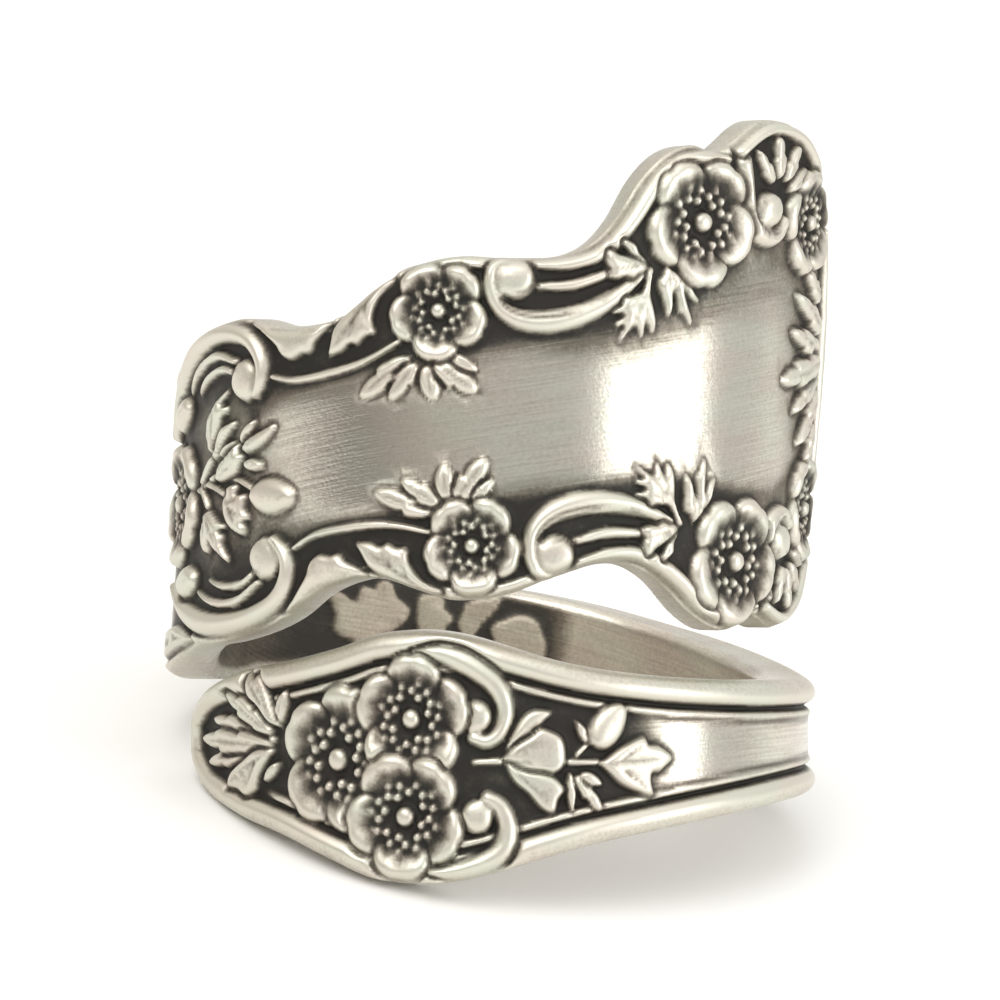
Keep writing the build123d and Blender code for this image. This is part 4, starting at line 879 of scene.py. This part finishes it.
def make_ring():
    """The whole ring, with its tones kept on its points, and the shift that laid it down."""
    handle = Handle()
    inset = inset_map(handle)
    face, reverse = front_relief(handle, inset), reverse_flower(handle)
    tone, plain = finished(face, softening)
    finished(reverse, inner_softening)
    back_tone = inner_tone(handle, reverse)
    bm, s, v, h, is_front = strike_handle(handle, inset, face, tone, reverse, back_tone)
    points, shift = at_rest(handle.wind(s, v, h))
    for vert, place in zip(bm.verts, points):
        vert.co = place
    edge = inset.at(s, v)
    worn = np.where(is_front, gentle_step(edge, 0, 0.25), gentle_step(edge, 0.20, 0.55))
    for name, values in (("tone", worn * np.where(is_front, tone.at(s, v), back_tone.at(s, v))),
                         ("plain", np.where(is_front, worn * plain.at(s, v), 0.75)),
                         ("matt", np.where(is_front, 0, worn)), ("along", s), ("across", v)):
        layer = bm.verts.layers.float.new(name)
        for vert, value in zip(bm.verts, values):
            vert[layer] = value
    bmesh.ops.remove_doubles(bm, verts=bm.verts, dist=1e-7)
    bmesh.ops.dissolve_degenerate(bm, edges=bm.edges, dist=1e-7)
    bmesh.ops.recalc_face_normals(bm, faces=bm.faces)
    for f in bm.faces:
        f.smooth = True
    print("open edges", sum(not e.is_manifold for e in bm.edges),
          "triangles", sum(len(f.verts) - 2 for f in bm.faces))
    return new_object("silver_ring", bm), shift


def new_object(name, bm):
    """An object of this name in the scene, made from a finished bmesh."""
    mesh = bpy.data.meshes.new(name)
    bm.to_mesh(mesh)
    bm.free()
    piece = bpy.data.objects.new(name, mesh)
    bpy.context.collection.objects.link(piece)
    return piece


# Finishes

class Value:
    """A socket of a node tree that can be used in plain sums."""

    def __init__(self, nodes, socket):
        self.nodes, self.socket = nodes, socket

    def math(self, operation, *others):
        sockets = dict(enumerate((self, *others)))
        return self.nodes.add("ShaderNodeMath", 0, {"operation": operation}, sockets)

    def __add__(self, other):
        return self.math("ADD", other)

    def __mul__(self, other):
        return self.math("MULTIPLY", other)

    def __sub__(self, other):
        return self.math("SUBTRACT", other)

    def __rsub__(self, other):
        return (self * -1) + other

    __radd__, __rmul__ = __add__, __mul__

    def limited(self):
        return self.math("MAXIMUM", 0.0).math("MINIMUM", 1.0)


class Nodes:
    """The node tree of a material or of the room."""

    def __init__(self, owner, ending):
        owner.use_nodes = True
        self.tree = owner.node_tree
        self.ending = next(n for n in self.tree.nodes if n.type == ending)

    def put(self, slot, value):
        """Sets a socket, or links it where the value is one of another node."""
        if isinstance(value, Value):
            self.tree.links.new(value.socket, slot)
        else:
            slot.default_value = value

    def add(self, kind, output, settings=None, sockets=None):
        """A new node: its settings first, then the values or links of its sockets."""
        node = self.tree.nodes.new(kind)
        for key, value in (settings or {}).items():
            if key == "stops":
                stops = node.color_ramp.elements
                while len(stops) < len(value):
                    stops.new(0.5)
                for stop, (place, color) in zip(stops, value):
                    stop.position, stop.color = place, (*color, 1)
            else:
                setattr(node, key, value)
        for key, value in (sockets or {}).items():
            self.put(node.inputs[key], value)
        return Value(self, node.outputs[output])

    def blend(self, factor, first, second, way="MIX"):
        """Two colours mixed."""
        return self.add("ShaderNodeMix", 2, {"data_type": "RGBA", "blend_type": way},
                        {"Factor": factor, 6: first, 7: second})

    def end(self, **sockets):
        """Sets or links the sockets of the shader."""
        for name, value in sockets.items():
            self.put(self.ending.inputs[name.replace("_", " ")], value)


def antique_silver():
    """Satin silver, worn bright on its edges, with dark oxide left in the recesses and painted shade on the
    petals, at the field's edges and on the inner face.
    """
    material = bpy.data.materials.new("antique_silver")
    nodes = Nodes(material, "BSDF_PRINCIPLED")
    place = nodes.add("ShaderNodeTexCoord", "Object")

    def attribute(name):
        return nodes.add("ShaderNodeAttribute", "Fac", {"attribute_name": name})

    def noise(vector, scale, detail, roughness):
        sockets = {"Vector": vector, "Scale": scale, "Detail": detail, "Roughness": roughness}
        return nodes.add("ShaderNodeTexNoise", "Fac", {}, sockets)

    def drawn_out(x, y):
        return nodes.add("ShaderNodeCombineXYZ", "Vector", {}, {"X": x, "Y": y})

    tone, plain, matt = attribute("tone"), attribute("plain"), attribute("matt")
    along, across = attribute("along"), attribute("across")
    grain = noise(place, 9000.0, 3.0, 0.6)
    cloud = noise(place, 900.0, 4.0, 0.6)
    streaks = noise(drawn_out(along * 0.35 + across * 0.06, across * 12.0), 1.0, 3.0, 0.55)
    veil = noise(drawn_out(along * 0.30, across * 0.8), 1.0, 2.0, 0.5)
    patchy = (cloud - 0.5) * (0.9 - plain * 0.6) + (veil - 0.5) * 0.5
    fine = (grain - 0.5) * 0.35 + (streaks - 0.5) * plain * 0.45
    # The tone carries oxide and painted shade together
    oxide_and_shade = (tone + patchy * (tone * 0.6 + 0.25) + fine + 0.06).limited()
    color = nodes.add("ShaderNodeValToRGB", "Color", {"stops": [
        (0.0, (0.690, 0.670, 0.610)), (0.15, (0.540, 0.518, 0.465)), (0.5, (0.190, 0.172, 0.145)),
        (0.8, (0.058, 0.053, 0.046)), (1.0, (0.030, 0.028, 0.025))]}, {"Fac": oxide_and_shade})
    hue = nodes.add("ShaderNodeValToRGB", "Color", {"stops": [
        (0.35, (0.97, 1.0, 0.95)), (0.65, (1.0, 0.95, 0.92))]}, {"Fac": veil})
    silver = nodes.blend(1.0, color, hue, "MULTIPLY")
    roughness = 0.44 + oxide_and_shade * 0.16 - plain * 0.24 + matt * 0.20 + (streaks - 0.5) * 0.10
    height = streaks * (0.10 + plain * 0.25) + grain * 0.30
    bump = {"Height": height, "Strength": 0.5, "Distance": 0.00003}
    nodes.end(Base_Color=nodes.blend(matt, silver, (0.98, 0.92, 0.86, 1), "MULTIPLY"),
              Metallic=1.0 - oxide_and_shade * 0.35 - matt * 0.60, Roughness=roughness.limited(),
              Normal=nodes.add("ShaderNodeBump", "Normal", {}, bump))
    return material


def pale_paper():
    """Plain paper with a faint cloud in its shade."""
    material = bpy.data.materials.new("pale_paper")
    nodes = Nodes(material, "BSDF_PRINCIPLED")
    place = nodes.add("ShaderNodeTexCoord", "Object")
    tone = nodes.add("ShaderNodeTexNoise", "Fac", {}, {"Vector": place, "Scale": 9.0, "Detail": 2.0})
    darker = [0.985 * c for c in paper_color]
    nodes.end(Base_Color=nodes.blend(tone, (*darker, 1), (*paper_color, 1)), Roughness=0.75)
    return material


# Stage

def pale_floor():
    bm = bmesh.new()
    bmesh.ops.create_grid(bm, x_segments=1, y_segments=1, size=3.0)
    floor = new_object("floor", bm)
    floor.data.materials.append(pale_paper())
    return floor


def photo_camera(shift):
    """A long lens, level with the upper turn, that looks across the finger hollow."""
    lens_data = bpy.data.cameras.new("camera")
    lens_data.sensor_width = sensor_width
    lens_data.lens = sensor_width * camera_distance * pixels_per_mm / picture_pixels
    lens_data.clip_start = 0.01
    camera = bpy.data.objects.new("camera", lens_data)
    stand = Vector((camera_side, -camera_distance, camera_level)) * MM
    camera.matrix_world = (Matrix.Translation(shift) @ rest_turn().to_4x4() @ Matrix.Translation(stand)
                           @ Matrix.Rotation(math.radians(90), 4, "X"))
    bpy.context.collection.objects.link(camera)
    bpy.context.scene.camera = camera


def pale_room():
    """Soft light from all round, brighter overhead and darker to the left of the camera."""
    world = bpy.data.worlds.new("studio")
    bpy.context.scene.world = world
    nodes = Nodes(world, "BACKGROUND")
    direction = nodes.add("ShaderNodeTexCoord", "Generated")

    def facing(way, power):
        """How squarely a direction in the room points this way, from 0 to 1."""
        dot = nodes.add("ShaderNodeVectorMath", "Value", {"operation": "DOT_PRODUCT"},
                        {0: direction, 1: Vector(way).normalized()})
        return dot.math("MAXIMUM", 0.0).math("POWER", power)

    up = facing((0, 0, 1), 1.0)
    overhead = nodes.add("ShaderNodeValToRGB", "Color", {"stops": [
        (0.0, (0.0, 0.0, 0.0)), (0.78, (0.5, 0.5, 0.5)), (1.0, (1.0, 1.0, 1.0))]}, {"Fac": up})
    side = (0.42 + 0.34 * facing((0.35, 1, 0), 1.0) + 0.12 * facing((-1, 0.1, 0), 4.0)
            + 0.22 * facing((0.8, 0.6, 0), 5.0) + 0.14 * facing((0.93, -0.37, 0), 14.0)
            - 0.34 * facing((-0.88, -0.47, 0), 8.0))
    warmth = facing((-1, -0.2, 0), 1.0)
    nodes.end(Color=nodes.blend(warmth, (1.0, 0.99, 0.965, 1), (1.0, 0.93, 0.84, 1)),
              Strength=side * (1 - overhead) + 1.5 * overhead)


def soft_light(name, angle, level, distance, width, height, power):
    """A panel of light that faces the ring: degrees to the right of the front, degrees up, how far."""
    a, b = math.radians(angle), math.radians(level)
    place = Vector((math.sin(a) * math.cos(b), -math.cos(a) * math.cos(b), math.sin(b))) * distance
    light = bpy.data.lights.new(name, "AREA")
    light.shape = "RECTANGLE"
    light.size, light.size_y, light.energy = width, height, power
    lamp = bpy.data.objects.new(name, light)
    lamp.location = place
    lamp.rotation_euler = (Vector((0, 0, ring_middle)) - place).to_track_quat("-Z", "Y").to_euler()
    bpy.context.collection.objects.link(lamp)


ring, shift = make_ring()
ring.data.materials.append(antique_silver())
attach(ring, "root")
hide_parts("ring")

floor = pale_floor()
photo_camera(shift)
pale_room()
soft_light("window", 59, 12, 0.24, 0.15, 0.20, 0.27)
soft_light("overhead", -40, 52, 0.30, 0.20, 0.20, 0.36)
bpy.context.scene.view_settings.view_transform = "Standard"
bpy.context.scene.view_settings.look = "None"
